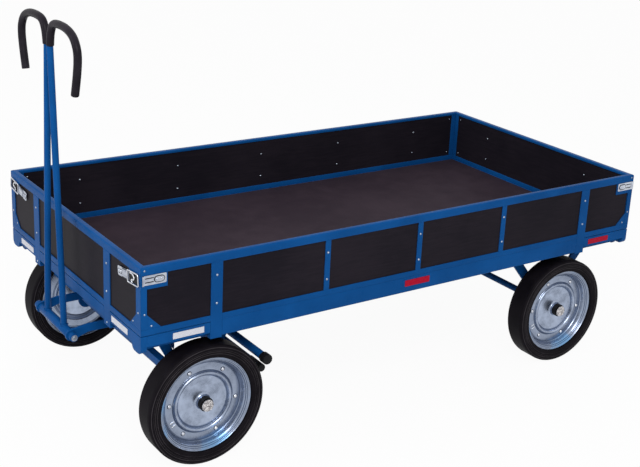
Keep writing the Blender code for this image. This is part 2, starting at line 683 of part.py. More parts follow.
def fork_arm():
    """A flat arm from the front beam over the brace to the drawbar's pivot, with a round eye."""
    start = BEAM_SPREAD + BEAM_WIDTH / 2 + SEAT_GAP
    pivot = (DRAWBAR_PLACE - FRONT_AXLE_PLACE, PIVOT_HEIGHT)
    knee = pivot[0] - 3 * FORK_BOSS_RADIUS
    eye = circle_points(pivot, FORK_BOSS_RADIUS, BOSS_STEPS, pi / 2, -pi)
    outline = [(start, FORK_BOTTOM), (start, FORK_TOP), (knee, FORK_TOP), *eye, (knee, FORK_BOTTOM)]
    hole = circle_points(pivot, PIVOT_PIN_RADIUS + BEARING_GAP, SHAFT_SIDES)
    return plate(outline, FORK_THICKNESS, holes=(hole,), near=0)


def brace_faces():
    """Distances from the axle to a brace's inner and outer face, where it meets the bracket's leg."""
    lean = atan2(FRONT_BRACKET_REACH, BOGIE_TOP - WHEEL_RADIUS)
    centre = (BRACE_TOP - WHEEL_RADIUS) * FRONT_BRACKET_REACH / (BOGIE_TOP - WHEEL_RADIUS)
    inner = centre + FRONT_BRACKET_LEG / 2 / cos(lean) + SEAT_GAP
    return inner, inner + BRACE_SIZE


def build_bogie(bogie):
    """Beams under the turntable, braces across the brackets' outer edges, and the fork arms."""
    inner, outer = brace_faces()
    for name, side in (("front", 1), ("rear", -1)):
        outline = channel_outline(side * BEAM_SPREAD, BEAM_WIDTH, BEAM_BOTTOM, BOGIE_TOP, CROSS_SHEET)
        body = plate(outline, 2 * BEAM_HALF_LENGTH, near=-BEAM_HALF_LENGTH)
        add_piece(f"bogie_beam_{name}", body, PAINT_BLUE, bogie)
        low, high = sorted((side * inner, side * outer))
        brace = block((low, -BRACKET_OUTER_FACE, BRACE_BOTTOM), (high, BRACKET_OUTER_FACE, BRACE_TOP))
        add_piece(f"bogie_brace_{name}", brace, PAINT_BLUE, bogie)
    add_piece("fork_arm_left", fork_arm(), PAINT_BLUE, bogie, (0, FORK_HALF_WIDTH, 0))
    add_piece("fork_arm_right", fork_arm(), PAINT_BLUE, bogie, (0, -FORK_HALF_WIDTH - FORK_THICKNESS, 0))


def crossbar_profile():
    """Radii along the drawbar's foot: tube, pivot pins, sleeves outside the arms and their nuts."""
    tube = FORK_HALF_WIDTH - BEARING_GAP
    outer = FORK_HALF_WIDTH + FORK_THICKNESS + BEARING_GAP
    end = outer + PIVOT_SLEEVE_LENGTH
    right = [(CROSSBAR_RADIUS, tube), (PIVOT_PIN_RADIUS, tube), (PIVOT_PIN_RADIUS, outer),
             (PIVOT_SLEEVE_RADIUS, outer), (PIVOT_SLEEVE_RADIUS, end),
             (PIVOT_NUT_RADIUS, end), (PIVOT_NUT_RADIUS, end + PIVOT_NUT_LENGTH)]
    left = [(radius, -along) for radius, along in reversed(right)]
    return left + right


def hook_shares():
    """Shares of the hook's reach and of its rise, or of its fall where negative, along its centre line."""
    return [(0.0, 0.0), (0.040, 0.52), (0.140, 0.89), (0.330, 1.0), (0.620, 0.97), (0.840, 0.78),
            (0.965, 0.42), (1.0, 0.0), (0.965, -0.42), (0.878, -1.0)]


def hook_path():
    """Centre line of a grip, measured from the leg's top, in Y and Z."""
    reach = HOOK_REACH - GRIP_RADIUS - SEAT_GAP
    points = [(GRIP_RADIUS + SEAT_GAP + along * reach, rise * (HOOK_RISE if rise > 0 else HOOK_FALL))
              for along, rise in hook_shares()]
    return smooth_path(points, 2)


def build_drawbar(drawbar):
    """Crossbar, two legs joined by a tie, and a hooked grip on each leg."""
    rise = LEG_TOP_HEIGHT - PIVOT_HEIGHT
    legs = [tube_along([(side * LEG_FOOT_SPREAD, 0), (side * LEG_TOP_SPREAD, rise)], TUBE_RADIUS,
                       TUBE_SIDES, level=(0, 1)) for side in (-1, 1)]
    tie = block((-TIE_THICKNESS / 2, -TIE_WIDTH / 2, rise - TIE_HEIGHT - TUBE_RADIUS),
                (TIE_THICKNESS / 2, TIE_WIDTH / 2, rise - TUBE_RADIUS))
    body = combined(turned(crossbar_profile(), SHAFT_SIDES), [*legs, tie], "UNION")
    add_piece("drawbar_frame", body, PAINT_BLUE, drawbar)
    for name, side in (("left", 1), ("right", -1)):
        path = [(side * y, rise + SEAT_GAP + z) for y, z in hook_path()]
        grip = tube_along(path, GRIP_RADIUS, TUBE_SIDES, level=(0,))
        add_piece(f"drawbar_grip_{name}", grip, GRIP_PLASTIC, drawbar)


def brake_plate():
    """Side plate from the rear brace to the brake's two bars."""
    front = -brace_faces()[1] - SEAT_GAP
    back = -BRAKE_PLACE_BEHIND_AXLE
    outline = [(front, BRACE_TOP), (back, PEDAL_HEIGHT + PEDAL_RADIUS),
               (back - PEDAL_RADIUS / 2, PEDAL_HEIGHT), (back - SHOE_RADIUS / 2, SHOE_HEIGHT),
               (back, SHOE_HEIGHT - SHOE_RADIUS / 2), (front, BRACE_BOTTOM)]
    return plate(outline, BRAKE_PLATE_THICKNESS, near=-BRAKE_PLATE_THICKNESS / 2)


def rod(radius, half_length, place):
    """A round bar along Y."""
    body = turned([(radius, -half_length), (radius, half_length)], TUBE_SIDES)
    bmesh.ops.translate(body, verts=body.verts, vec=place)
    return body


def brake_cap():
    """Sleeve with a closed end that is pushed over the pedal bar."""
    bore, outer = PEDAL_RADIUS + SEAT_GAP, PEDAL_RADIUS + CAP_WALL
    start = CAP_WALL - CAP_LENGTH
    profile = [(bore, 0), (bore, start), (outer, start), (outer, CAP_WALL / 2), (outer - CAP_WALL, CAP_WALL)]
    return turned(profile, TUBE_SIDES)


def build_brake(bogie):
    """Pedal bar and shoe bar behind the front wheels, welded to two side plates."""
    back = -BRAKE_PLACE_BEHIND_AXLE
    plates = []
    for side in (-1, 1):
        shape = brake_plate()
        bmesh.ops.translate(shape, verts=shape.verts, vec=(0, side * BRAKE_PLATE_PLACE, 0))
        plates.append(shape)
    shoe = rod(SHOE_RADIUS, SHOE_HALF_LENGTH, (back, 0, SHOE_HEIGHT))
    pedal = rod(PEDAL_RADIUS, PEDAL_HALF_LENGTH, (back, 0, PEDAL_HEIGHT))
    body = combined(pedal, [*plates, shoe], "UNION")
    add_piece("brake_bar", body, PAINT_BLUE, bogie)
    for name, side in (("left", 1), ("right", -1)):
        place = (back, side * (PEDAL_HALF_LENGTH + SEAT_GAP), PEDAL_HEIGHT)
        add_piece(f"brake_cap_{name}", brake_cap(), RUBBER, bogie, place, 0.0 if side > 0 else pi)


def build_cart():
    """Build the whole cart under its empties."""
    clear_scene()
    cart = add_empty("cart", (PLATFORM_SHIFT, 0, 0))
    bogie = add_empty("bogie_axis", (FRONT_AXLE_PLACE, 0, 0), cart)
    drawbar = add_empty("drawbar_axis", (DRAWBAR_PLACE - FRONT_AXLE_PLACE, 0, PIVOT_HEIGHT), bogie)
    rear = add_empty("rear_axle_place", (REAR_AXLE_PLACE, 0, 0), cart)
    build_frame(cart)
    build_cross_members(cart)
    build_deck(cart)
    build_walls(cart)
    build_latches(cart)
    build_turntable(cart, bogie)
    build_bogie(bogie)
    build_axle("front", bogie, FRONT_BRACKET_REACH, BOGIE_TOP, FRONT_BRACKET_LEG)
    build_axle("rear", rear, REAR_BRACKET_REACH, CROSS_BOTTOM - SEAT_GAP, REAR_BRACKET_LEG)
    build_brake(bogie)
    build_drawbar(drawbar)
    for end_name, carrier in (("front", bogie), ("rear", rear)):
        for side_name, side in (("left", 1), ("right", -1)):
            label = f"{end_name}_{side_name}"
            axis = add_empty(f"wheel_axis_{label}", (0, side * WHEEL_TRACK_HALF, WHEEL_RADIUS), carrier)
            build_wheel(label, axis, side)


build_cart()
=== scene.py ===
"""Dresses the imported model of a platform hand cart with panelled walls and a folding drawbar.

The steel is powder coated blue, the wheels are zinc plated with solid tyres, and the deck and the wall panels are
film-faced plywood. Everything is in metres, in the frame of the CAD model: +X to the drawbar, +Y to the left, +Z up.
"""

import json
import logging
from collections.abc import Iterable, Mapping, Sequence
from dataclasses import dataclass, field
from enum import StrEnum
from math import atan2, cos, pi, radians, sin, tan
from typing import ClassVar

import bmesh
import bpy
from mathutils import Matrix, Vector

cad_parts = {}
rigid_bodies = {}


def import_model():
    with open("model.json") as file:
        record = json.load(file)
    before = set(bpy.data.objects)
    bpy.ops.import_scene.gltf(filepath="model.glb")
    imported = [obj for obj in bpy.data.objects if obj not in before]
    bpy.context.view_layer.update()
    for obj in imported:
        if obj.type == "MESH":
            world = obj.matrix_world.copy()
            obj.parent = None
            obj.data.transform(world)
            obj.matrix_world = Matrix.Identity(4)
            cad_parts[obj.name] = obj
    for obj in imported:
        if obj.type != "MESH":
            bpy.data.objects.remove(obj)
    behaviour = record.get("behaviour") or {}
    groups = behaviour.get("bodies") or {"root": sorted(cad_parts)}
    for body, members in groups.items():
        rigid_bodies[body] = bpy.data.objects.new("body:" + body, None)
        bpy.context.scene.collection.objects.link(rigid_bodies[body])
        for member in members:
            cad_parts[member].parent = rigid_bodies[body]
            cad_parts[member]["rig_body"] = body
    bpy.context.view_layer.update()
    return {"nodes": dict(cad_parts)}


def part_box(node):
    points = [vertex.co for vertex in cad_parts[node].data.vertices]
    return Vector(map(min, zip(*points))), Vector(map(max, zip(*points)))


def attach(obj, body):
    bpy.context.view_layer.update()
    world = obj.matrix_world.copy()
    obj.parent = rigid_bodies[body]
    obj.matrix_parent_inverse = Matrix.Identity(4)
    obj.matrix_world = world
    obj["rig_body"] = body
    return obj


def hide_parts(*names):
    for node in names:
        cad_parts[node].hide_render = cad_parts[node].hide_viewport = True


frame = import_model()

LOG = logging.getLogger("hand_cart")

Point = tuple[float, float, float]
Pair = tuple[float, float]
Colour = tuple[float, float, float]

ENDS = (("front", 1), ("rear", -1))
SIDES = (("left", 1), ("right", -1))
OUTWARDS, INWARDS = (0, 1, 0), (0, -1, 0)
TO_Y = Matrix.Rotation(-pi / 2, 4, "X")
SEAT_GAP = 0.0003
SMOOTH_ANGLE = radians(34)
BEAD = 0.0022
FINE_BEAD = 0.0010
WALL_LENGTH = 2.04
WALL_WIDTH = 1.04


class Body(StrEnum):
    """CAD bodies that pieces ride on, apart from the wheels."""

    CHASSIS = "chassis"
    BOGIE = "bogie"
    DRAWBAR = "drawbar"


class Slot(StrEnum):
    """Material slots of the record."""

    PAINT = "blue_paint"
    DECK = "deck_plywood"
    PANEL = "panel_plywood"
    ZINC = "zinc_plate"
    RIM = "zinc_rim"
    AXLE = "axle_steel"
    TYRE = "tyre_rubber"
    CAP = "cap_rubber"
    GRIP = "grip_sleeve"


class Signal:
    """A socket of a shader graph that takes part in sums, products and comparisons."""

    def __init__(self, graph: "Graph", socket: bpy.types.NodeSocket | None) -> None:
        """Wrap one output socket of the graph."""
        self.graph, self.socket = graph, socket

    def _math(self, operation: str, *terms: "Signal | float") -> "Signal":
        """Add one Math node on the terms."""
        return self.graph.node("ShaderNodeMath", {"operation": operation}, dict(enumerate(terms)))

    def __add__(self, other: "Signal | float") -> "Signal":
        """Sum of two values."""
        return self._math("ADD", self, other)

    def __sub__(self, other: "Signal | float") -> "Signal":
        """Difference of two values."""
        return self._math("SUBTRACT", self, other)

    def __rsub__(self, other: float) -> "Signal":
        """Difference with a number on the left."""
        return self._math("SUBTRACT", other, self)

    def __mul__(self, other: "Signal | float") -> "Signal":
        """Product of two values."""
        return self._math("MULTIPLY", self, other)

    def __gt__(self, other: "Signal | float") -> "Signal":
        """One where the value is greater, else zero."""
        return self._math("GREATER_THAN", self, other)

    def __abs__(self) -> "Signal":
        """The value without its sign."""
        return self._math("ABSOLUTE", self)

    __radd__ = __add__
    __rmul__ = __mul__

    def sine(self) -> "Signal":
        """Sine of the value, in radians."""
        return self._math("SINE", self)

    def root(self) -> "Signal":
        """Square root of the value."""
        return self._math("SQRT", self)

    def output(self, name: str) -> "Signal":
        """Another output of the same node."""
        return Signal(self.graph, self.socket.node.outputs[name])


class Graph:
    """The shader nodes of one material or of the world."""

    def __init__(self, tree: bpy.types.NodeTree) -> None:
        """Start with an empty tree."""
        self.tree = tree
        tree.nodes.clear()

    def node(self, kind: str, settings: Mapping | None = None, inputs: Mapping | None = None,
             output: int | str = 0) -> Signal:
        """Add any node.

        Args:
            kind: The node's type.
            settings: Its properties, set first.
            inputs: Values or signals by the name or number of the socket.
            output: Name or number of the output to return.

        Returns:
            The chosen output as a signal, without a socket where the node has no output.
        """
        made = self.tree.nodes.new(kind)
        for name, value in (settings or {}).items():
            setattr(made, name, value)
        for name, value in (inputs or {}).items():
            if isinstance(value, Signal):
                self.tree.links.new(value.socket, made.inputs[name])
            else:
                made.inputs[name].default_value = value
        return Signal(self, made.outputs[output] if made.outputs else None)

    def place(self) -> Signal:
        """The point on the surface in the piece's own coordinates."""
        return self.node("ShaderNodeTexCoord", output="Object")

    def axes(self, point: Signal) -> tuple[Signal, Signal, Signal]:
        """The three coordinates of a point."""
        split = self.node("ShaderNodeSeparateXYZ", inputs={"Vector": point})
        return split.output("X"), split.output("Y"), split.output("Z")

    def from_axle(self, point: Signal) -> tuple[Signal, Signal]:
        """Distance of a point from the local Y axis, and its place along it."""
        x, y, z = self.axes(point)
        return (x * x + z * z).root(), y

    def stretched(self, point: Signal, scale: Point) -> Signal:
        """A point with each coordinate scaled on its own."""
        return self.node("ShaderNodeVectorMath", {"operation": "MULTIPLY"}, {0: point, 1: scale})

    def noise(self, point: Signal, scale: float, detail: float = 2.0, roughness: float = 0.5) -> Signal:
        """Cloudy noise between zero and one."""
        return self.node("ShaderNodeTexNoise", None,
                         {"Vector": point, "Scale": scale, "Detail": detail, "Roughness": roughness})

    def spread(self, value: Signal, low: float, high: float) -> Signal:
        """A value with its low and high marks moved to zero and one, clamped and eased."""
        return self.node("ShaderNodeMapRange", {"interpolation_type": "SMOOTHSTEP"},
                         {"Value": value, "From Min": low, "From Max": high})

    def lines(self, radius: Signal, places: Iterable[float], width: float) -> Signal:
        """Fine rings at the given radii: one on a ring, zero between the rings."""
        return sum(1.0 - self.spread(abs(radius - place), 0.0003, width) for place in places)

    def blend(self, share: "Signal | float", first: "Signal | Colour", second: "Signal | Colour") -> Signal:
        """A colour between two colours."""
        ends = [end if isinstance(end, Signal) else (*end, 1.0) for end in (first, second)]
        return self.node("ShaderNodeMix", {"data_type": "RGBA"}, {0: share, 6: ends[0], 7: ends[1]}, output=2)

    def bump(self, height: Signal, distance: float, strength: float) -> Signal:
        """A normal that is tilted by a height."""
        return self.node("ShaderNodeBump", None, {"Height": height, "Distance": distance, "Strength": strength})

    def seen(self) -> Signal:
        """One for a ray that looks at the backdrop directly, in gloss or through glass, else zero."""
        rays = self.node("ShaderNodeLightPath")
        return rays.output("Is Camera Ray") + rays.output("Is Glossy Ray") + rays.output("Is Transmission Ray") > 0.5

    def close(self, shader: Signal, kind: str = "ShaderNodeOutputMaterial") -> None:
        """Send a shader to the output of the material or of the world."""
        self.node(kind, None, {"Surface": shader})

    def principled(self, inputs: Mapping) -> None:
        """Close the graph with one Principled shader."""
        self.close(self.node("ShaderNodeBsdfPrincipled", None, inputs))


@dataclass(frozen=True)
class Finish:
    """A surface finish that becomes one Blender material, and the record's slot that it mostly stands for."""

    name: str
    slot: Slot | None = None

    def material(self) -> bpy.types.Material:
        """Make the material when it is first asked for.

        Returns:
            The finish as a material.
        """
        made = bpy.data.materials.get(self.name)
        if made is None:
            made = bpy.data.materials.new(self.name)
            made.use_nodes = True
            self.paint(Graph(made.node_tree))
        return made

    def paint(self, graph: Graph) -> None:
        """Add the finish's nodes to an empty graph."""
        raise NotImplementedError


@dataclass(frozen=True)
class PowderCoat(Finish):
    """Glossy powder coat with a fine orange peel, slight clouds of shade, pale specks and a paler tint on upward faces.
    """

    colour: Colour = (0.0046, 0.0720, 0.252)
    deep: Colour = (0.0034, 0.0580, 0.208)
    dust: Colour = (0.10, 0.17, 0.30)

    def paint(self, graph: Graph) -> None:
        """Add the paint's nodes.

        Args:
            graph: The material's empty graph.
        """
        point = graph.place()
        clouds = graph.noise(point, 7.0, 3.0)
        grain = graph.noise(point, 520.0, 1.5)
        specks = graph.spread(graph.noise(point, 160.0, 3.0, 0.65), 0.66, 0.80)
        facing = graph.axes(graph.node("ShaderNodeNewGeometry", output="Normal"))[2]
        # Upward faces and random specks turn a little paler blue.
        paler_on_top = graph.spread(facing, 0.3, 1.0) * graph.spread(clouds, 0.42, 0.75) * 0.015
        shade = graph.blend(graph.spread(clouds, 0.3, 0.7), self.deep, self.colour)
        shade = graph.blend(paler_on_top + specks * 0.025, shade, self.dust)
        graph.principled({"Base Color": shade, "Roughness": 0.24 + clouds * 0.10 + specks * 0.12,
                          "Specular IOR Level": 0.03, "Normal": graph.bump(grain, 0.00016, 0.55)})


@dataclass(frozen=True)
class FilmPlywood(Finish):
    """Dark phenolic film on plywood, with the veneer's grain showing faintly through it."""

    colour: Colour = (0.0098, 0.0084, 0.0124)
    pale: Colour = (0.0168, 0.0136, 0.0190)
    mesh_pitch: float = 0.0
    roughness: float = 0.34

    def paint(self, graph: Graph) -> None:
        """Add the film's nodes; a mesh pitch above zero adds the woven non-slip print.

        Args:
            graph: The material's empty graph.
        """
        point = graph.place()
        grain = graph.noise(graph.stretched(point, (5.0, 5.0, 70.0)), 3.0, 5.0, 0.6)
        clouds = graph.noise(point, 2.6, 4.0, 0.55)
        pores = graph.spread(graph.noise(graph.stretched(point, (60.0, 60.0, 260.0)), 4.0, 2.0), 0.60, 0.72)
        shade = graph.blend(graph.spread(clouds * 0.6 + grain * 0.4, 0.36, 0.66), self.colour, self.pale)
        height = grain * 0.5 + pores * -0.2 + graph.noise(point, 900.0, 1.0) * 0.3
        distance = 0.00012
        if self.mesh_pitch > 0:
            x, y, _ = graph.axes(point)
            wave = 2 * pi / self.mesh_pitch
            weave = (x * wave).sine() * (y * wave).sine()
            height = height + graph.spread(weave, -0.2, 0.7)
            shade = graph.blend(graph.spread(weave, 0.2, 0.9) * 0.35, shade, self.pale)
            distance = 0.00022
        scuffs = graph.spread(graph.noise(graph.stretched(point, (3.0, 9.0, 6.0)), 5.0, 6.0, 0.7), 0.58, 0.78)
        graph.principled({"Base Color": shade, "Roughness": self.roughness + clouds * 0.12 + scuffs * 0.10,
                          "Specular IOR Level": 0.03, "Normal": graph.bump(height, distance, 0.5)})


@dataclass(frozen=True)
class ZincPlate(Finish):
    """Bright blue-passivated zinc on sheet steel, with cloudy patches."""

    colour: Colour = (0.62, 0.66, 0.73)
    dull: Colour = (0.40, 0.43, 0.51)
    roughness: float = 0.27
    cloud_scale: float = 34.0

    def paint(self, graph: Graph) -> None:
        """Add the zinc's nodes.

        Args:
            graph: The material's empty graph.
        """
        point = graph.place()
        clouds = graph.noise(point, self.cloud_scale, 4.0, 0.6)
        shade = graph.blend(graph.spread(clouds, 0.35, 0.70), self.dull, self.colour)
        graph.principled({"Base Color": shade, "Metallic": 1.0, "Roughness": self.roughness + clouds * 0.14,
                          "Normal": graph.bump(graph.noise(point, 800.0, 1.0), 0.00006, 0.5)})


@dataclass(frozen=True)
class SpunZinc(Finish):
    """Zinc on a pressed wheel disc, with faint rings from the press and painted shade in dark blue along the grooves.
    """

    colour: Colour = (0.400, 0.465, 0.600)
    dull: Colour = (0.205, 0.240, 0.318)
    groove: Colour = (0.016, 0.036, 0.085)
    blue: Colour = (0.10, 0.34, 0.66)
    grooves: tuple[float, ...] = (0.1490, 0.1444, 0.1338, 0.1052, 0.0878)

    def paint(self, graph: Graph) -> None:
        """Add the rim's nodes; the wheel's own axis is Y.

        Args:
            graph: The material's empty graph.
        """
        point = graph.place()
        radius, along = graph.from_axle(point)
        across = graph.node("ShaderNodeCombineXYZ", None, {"X": radius * 900.0, "Y": along * 200.0})
        rings = graph.noise(across, 1.0, 2.0)
        clouds = graph.noise(point, 22.0, 4.0, 0.62)
        inner = 1.0 - graph.spread(radius, 0.084, 0.106) * 0.45
        share = graph.spread(clouds * 0.75 + rings * 0.25, 0.30, 0.66) * inner
        shade = graph.blend(share, self.dull, self.colour)
        film = graph.spread(graph.noise(point, 11.0, 2.0), 0.52, 0.72) * graph.spread(radius, 0.126, 0.138) * 0.6
        shade = graph.blend(film, shade, self.blue)
        # Painted shade: dark blue lines along the grooves and the raised ring's edges.
        groove_shade = graph.lines(radius, self.grooves, 0.0014) * (0.45 + clouds)
        shade = graph.blend(graph.spread(groove_shade, 0.0, 1.0) * 0.85, shade, self.groove)
        graph.principled({"Base Color": shade, "Metallic": 1.0, "Roughness": 0.20 + clouds * 0.12 + rings * 0.05,
                          "Normal": graph.bump(rings * 0.6 + graph.noise(point, 700.0, 1.0) * 0.4, 0.00005, 0.6)})


@dataclass(frozen=True)
class Rubber(Finish):
    """Moulded rubber or vinyl, dull with soft clouds, and with painted highlights on a tyre's raised rings."""

    colour: Colour = (0.0046, 0.0038, 0.0055)
    pale: Colour = (0.0088, 0.0072, 0.0098)
    roughness: float = 0.46
    grain: float = 420.0
    gloss: float = 0.04
    rings: tuple[float, ...] = ()
    worn: Colour = (0.060, 0.054, 0.060)

    def paint(self, graph: Graph) -> None:
        """Add the rubber's nodes.

        Args:
            graph: The material's empty graph.
        """
        point = graph.place()
        clouds = graph.noise(point, 16.0, 4.0, 0.6)
        bloom = graph.spread(graph.noise(point, 60.0, 3.0, 0.7), 0.55, 0.80)
        shade = graph.blend(graph.spread(clouds, 0.35, 0.68) * 0.7 + bloom * 0.3, self.colour, self.pale)
        if self.rings:
            # Painted highlights: paler lines on the tyre's raised rings.
            ring_highlight = graph.lines(graph.from_axle(point)[0], self.rings, 0.0013) * (clouds + 0.15)
            shade = graph.blend(graph.spread(ring_highlight, 0.0, 1.0), shade, self.worn)
        graph.principled({"Base Color": shade, "Roughness": self.roughness + clouds * 0.16 + bloom * 0.08,
                          "Specular IOR Level": self.gloss,
                          "Normal": graph.bump(graph.noise(point, self.grain, 2.0), 0.00012, 0.5)})


@dataclass(frozen=True)
class Prism(Finish):
    """Moulded reflector or marking strip with fine cross lines under a clear skin."""

    colour: Colour = (0.62, 0.63, 0.68)
    line: Colour = (0.42, 0.43, 0.50)
    pitch: float = 0.0032

    def paint(self, graph: Graph) -> None:
        """Add the strip's nodes.

        Args:
            graph: The material's empty graph.
        """
        x, y, z = graph.axes(graph.place())
        wave = 2 * pi / self.pitch
        lines = graph.spread((z * wave * 1.3).sine(), 0.0, 0.9)
        cells = graph.spread(((x + y) * wave).sine(), 0.1, 0.9)
        shade = graph.blend(lines * 0.5 + cells * 0.25, self.colour, self.line)
        graph.principled({"Base Color": shade, "Roughness": 0.22 + cells * 0.10, "Specular IOR Level": 0.08,
                          "Normal": graph.bump(lines * 0.6 + cells * 0.4, 0.0003, 0.4)})


@dataclass(frozen=True)
class StudioFloor(Finish):
    """Pale matt floor that rays which look at it see nearly white, with the cart's soft shadow."""

    colour: Colour = (0.80, 0.80, 0.80)

    def paint(self, graph: Graph) -> None:
        """Add the floor's nodes.

        Args:
            graph: The material's empty graph.
        """
        matt = graph.node("ShaderNodeBsdfDiffuse", None, {"Color": (*self.colour, 1.0)})
        white = graph.node("ShaderNodeEmission", None, {"Color": (1.0, 1.0, 1.0, 1.0), "Strength": 1.0})
        graph.close(graph.node("ShaderNodeMixShader", None, {0: graph.seen() * 0.95, 1: matt, 2: white}))


PAINT = PowderCoat("powder_coat_blue", Slot.PAINT)
# The deck's colours are paler than the panel's on the same film: painted sheen of the bright sky.
DECK = FilmPlywood("film_plywood_deck", Slot.DECK, (0.0290, 0.0205, 0.0285), (0.0420, 0.0300, 0.0400), 0.0052, 0.50)
PANEL = FilmPlywood("film_plywood_panel", Slot.PANEL)
ZINC = ZincPlate("zinc_sheet", Slot.ZINC)
FASTENER = ZincPlate("zinc_fastener", Slot.ZINC, (0.74, 0.76, 0.80), (0.50, 0.52, 0.58), 0.18)
BOLT = ZincPlate("zinc_bolt", Slot.ZINC, (0.50, 0.55, 0.62), (0.30, 0.34, 0.42), 0.26)
CREASED = ZincPlate("zinc_creased_cap", Slot.AXLE, (0.86, 0.84, 0.84), (0.16, 0.15, 0.16), 0.20, 230.0)
RIM = SpunZinc("zinc_spun_rim", Slot.RIM)
TYRE = Rubber("solid_rubber", Slot.TYRE, rings=(0.1722, 0.1792, 0.1842, 0.1930))
SLEEVE = Rubber("grip_vinyl", Slot.GRIP, (0.0115, 0.0098, 0.0135), (0.0240, 0.0205, 0.0280), 0.30, 260.0, 0.06)
# Dark rubber for the real brake caps and sleeves, also used as painted shade on the latches and wheels.
DARK = Rubber("dark_cap", Slot.CAP, (0.0060, 0.0060, 0.0070), (0.0110, 0.0110, 0.0125), 0.40, gloss=0.10)
WHITE = Prism("reflector_white")
RED = Prism("reflector_red", colour=(0.40, 0.001, 0.022), line=(0.25, 0.001, 0.014))


def arc(centre: Pair, radius: float, start: float, sweep: float, steps: int) -> list[Pair]:
    """Points of an arc, with both of its ends."""
    return [(centre[0] + radius * cos(start + sweep * k / steps), centre[1] + radius * sin(start + sweep * k / steps))
            for k in range(steps + 1)]


def rectangle(low: Pair, high: Pair) -> list[Pair]:
    """Corners of a rectangle."""
    return [low, (high[0], low[1]), high, (low[0], high[1])]


def rounded(corners: Sequence[Pair], radii: float | Sequence[float], steps: int = 4) -> list[Pair]:
    """Round the corners of an outline.

    Args:
        corners: The outline's corners in order.
        radii: One radius for all corners, or one for each; zero keeps a corner sharp.
        steps: Segments of each rounding.

    Returns:
        The outline's points.
    """
    outline: list[Pair] = []
    radii = [radii] * len(corners) if isinstance(radii, float) else radii
    for k, (corner, radius) in enumerate(zip(corners, radii)):
        if radius <= 0:
            outline.append(corner)
            continue
        here = Vector(corner)
        back = (Vector(corners[k - 1]) - here).normalized()
        ahead = (Vector(corners[(k + 1) % len(corners)]) - here).normalized()
        half = back.angle(ahead) / 2
        middle = here + (back + ahead).normalized() * (radius / sin(half))
        first, last = here + back * (radius / tan(half)), here + ahead * (radius / tan(half))
        start = atan2(first.y - middle.y, first.x - middle.x)
        turn = atan2(last.y - middle.y, last.x - middle.x) - start
        outline += arc(tuple(middle), radius, start, (turn + pi) % (2 * pi) - pi, steps)
    return outline


def smooth_path(points: Sequence[Pair], steps: int) -> list[Pair]:
    """Lay a Catmull-Rom curve through points.

    Args:
        points: The points that it goes through.
        steps: Steps in each span.

    Returns:
        The curve's points.
    """
    ends = [points[0], *points, points[-1]]
    path: list[Pair] = []
    for a, b, c, d in zip(*([Vector(point) for point in ends[k:]] for k in range(4))):
        for t in (k / steps for k in range(steps)):
            path.append(tuple(0.5 * ((2 * b) + (c - a) * t + (2 * a - 5 * b + 4 * c - d) * t ** 2
                                     + (3 * b - a - 3 * c + d) * t ** 3)))
    return [*path, tuple(points[-1])]


def ring(spot: Vector, across: Vector, up: Vector, radius: float, sides: int) -> list[Vector]:
    """Points of a circle round a spot."""
    return [spot + (across * cos(2 * pi * n / sides) + up * sin(2 * pi * n / sides)) * radius for n in range(sides)]


def aimed(spot: Point, facing: Point) -> Matrix:
    """Place at a spot with the local Z axis along a direction."""
    return Matrix.Translation(spot) @ Vector((0, 0, 1)).rotation_difference(Vector(facing)).to_matrix().to_4x4()


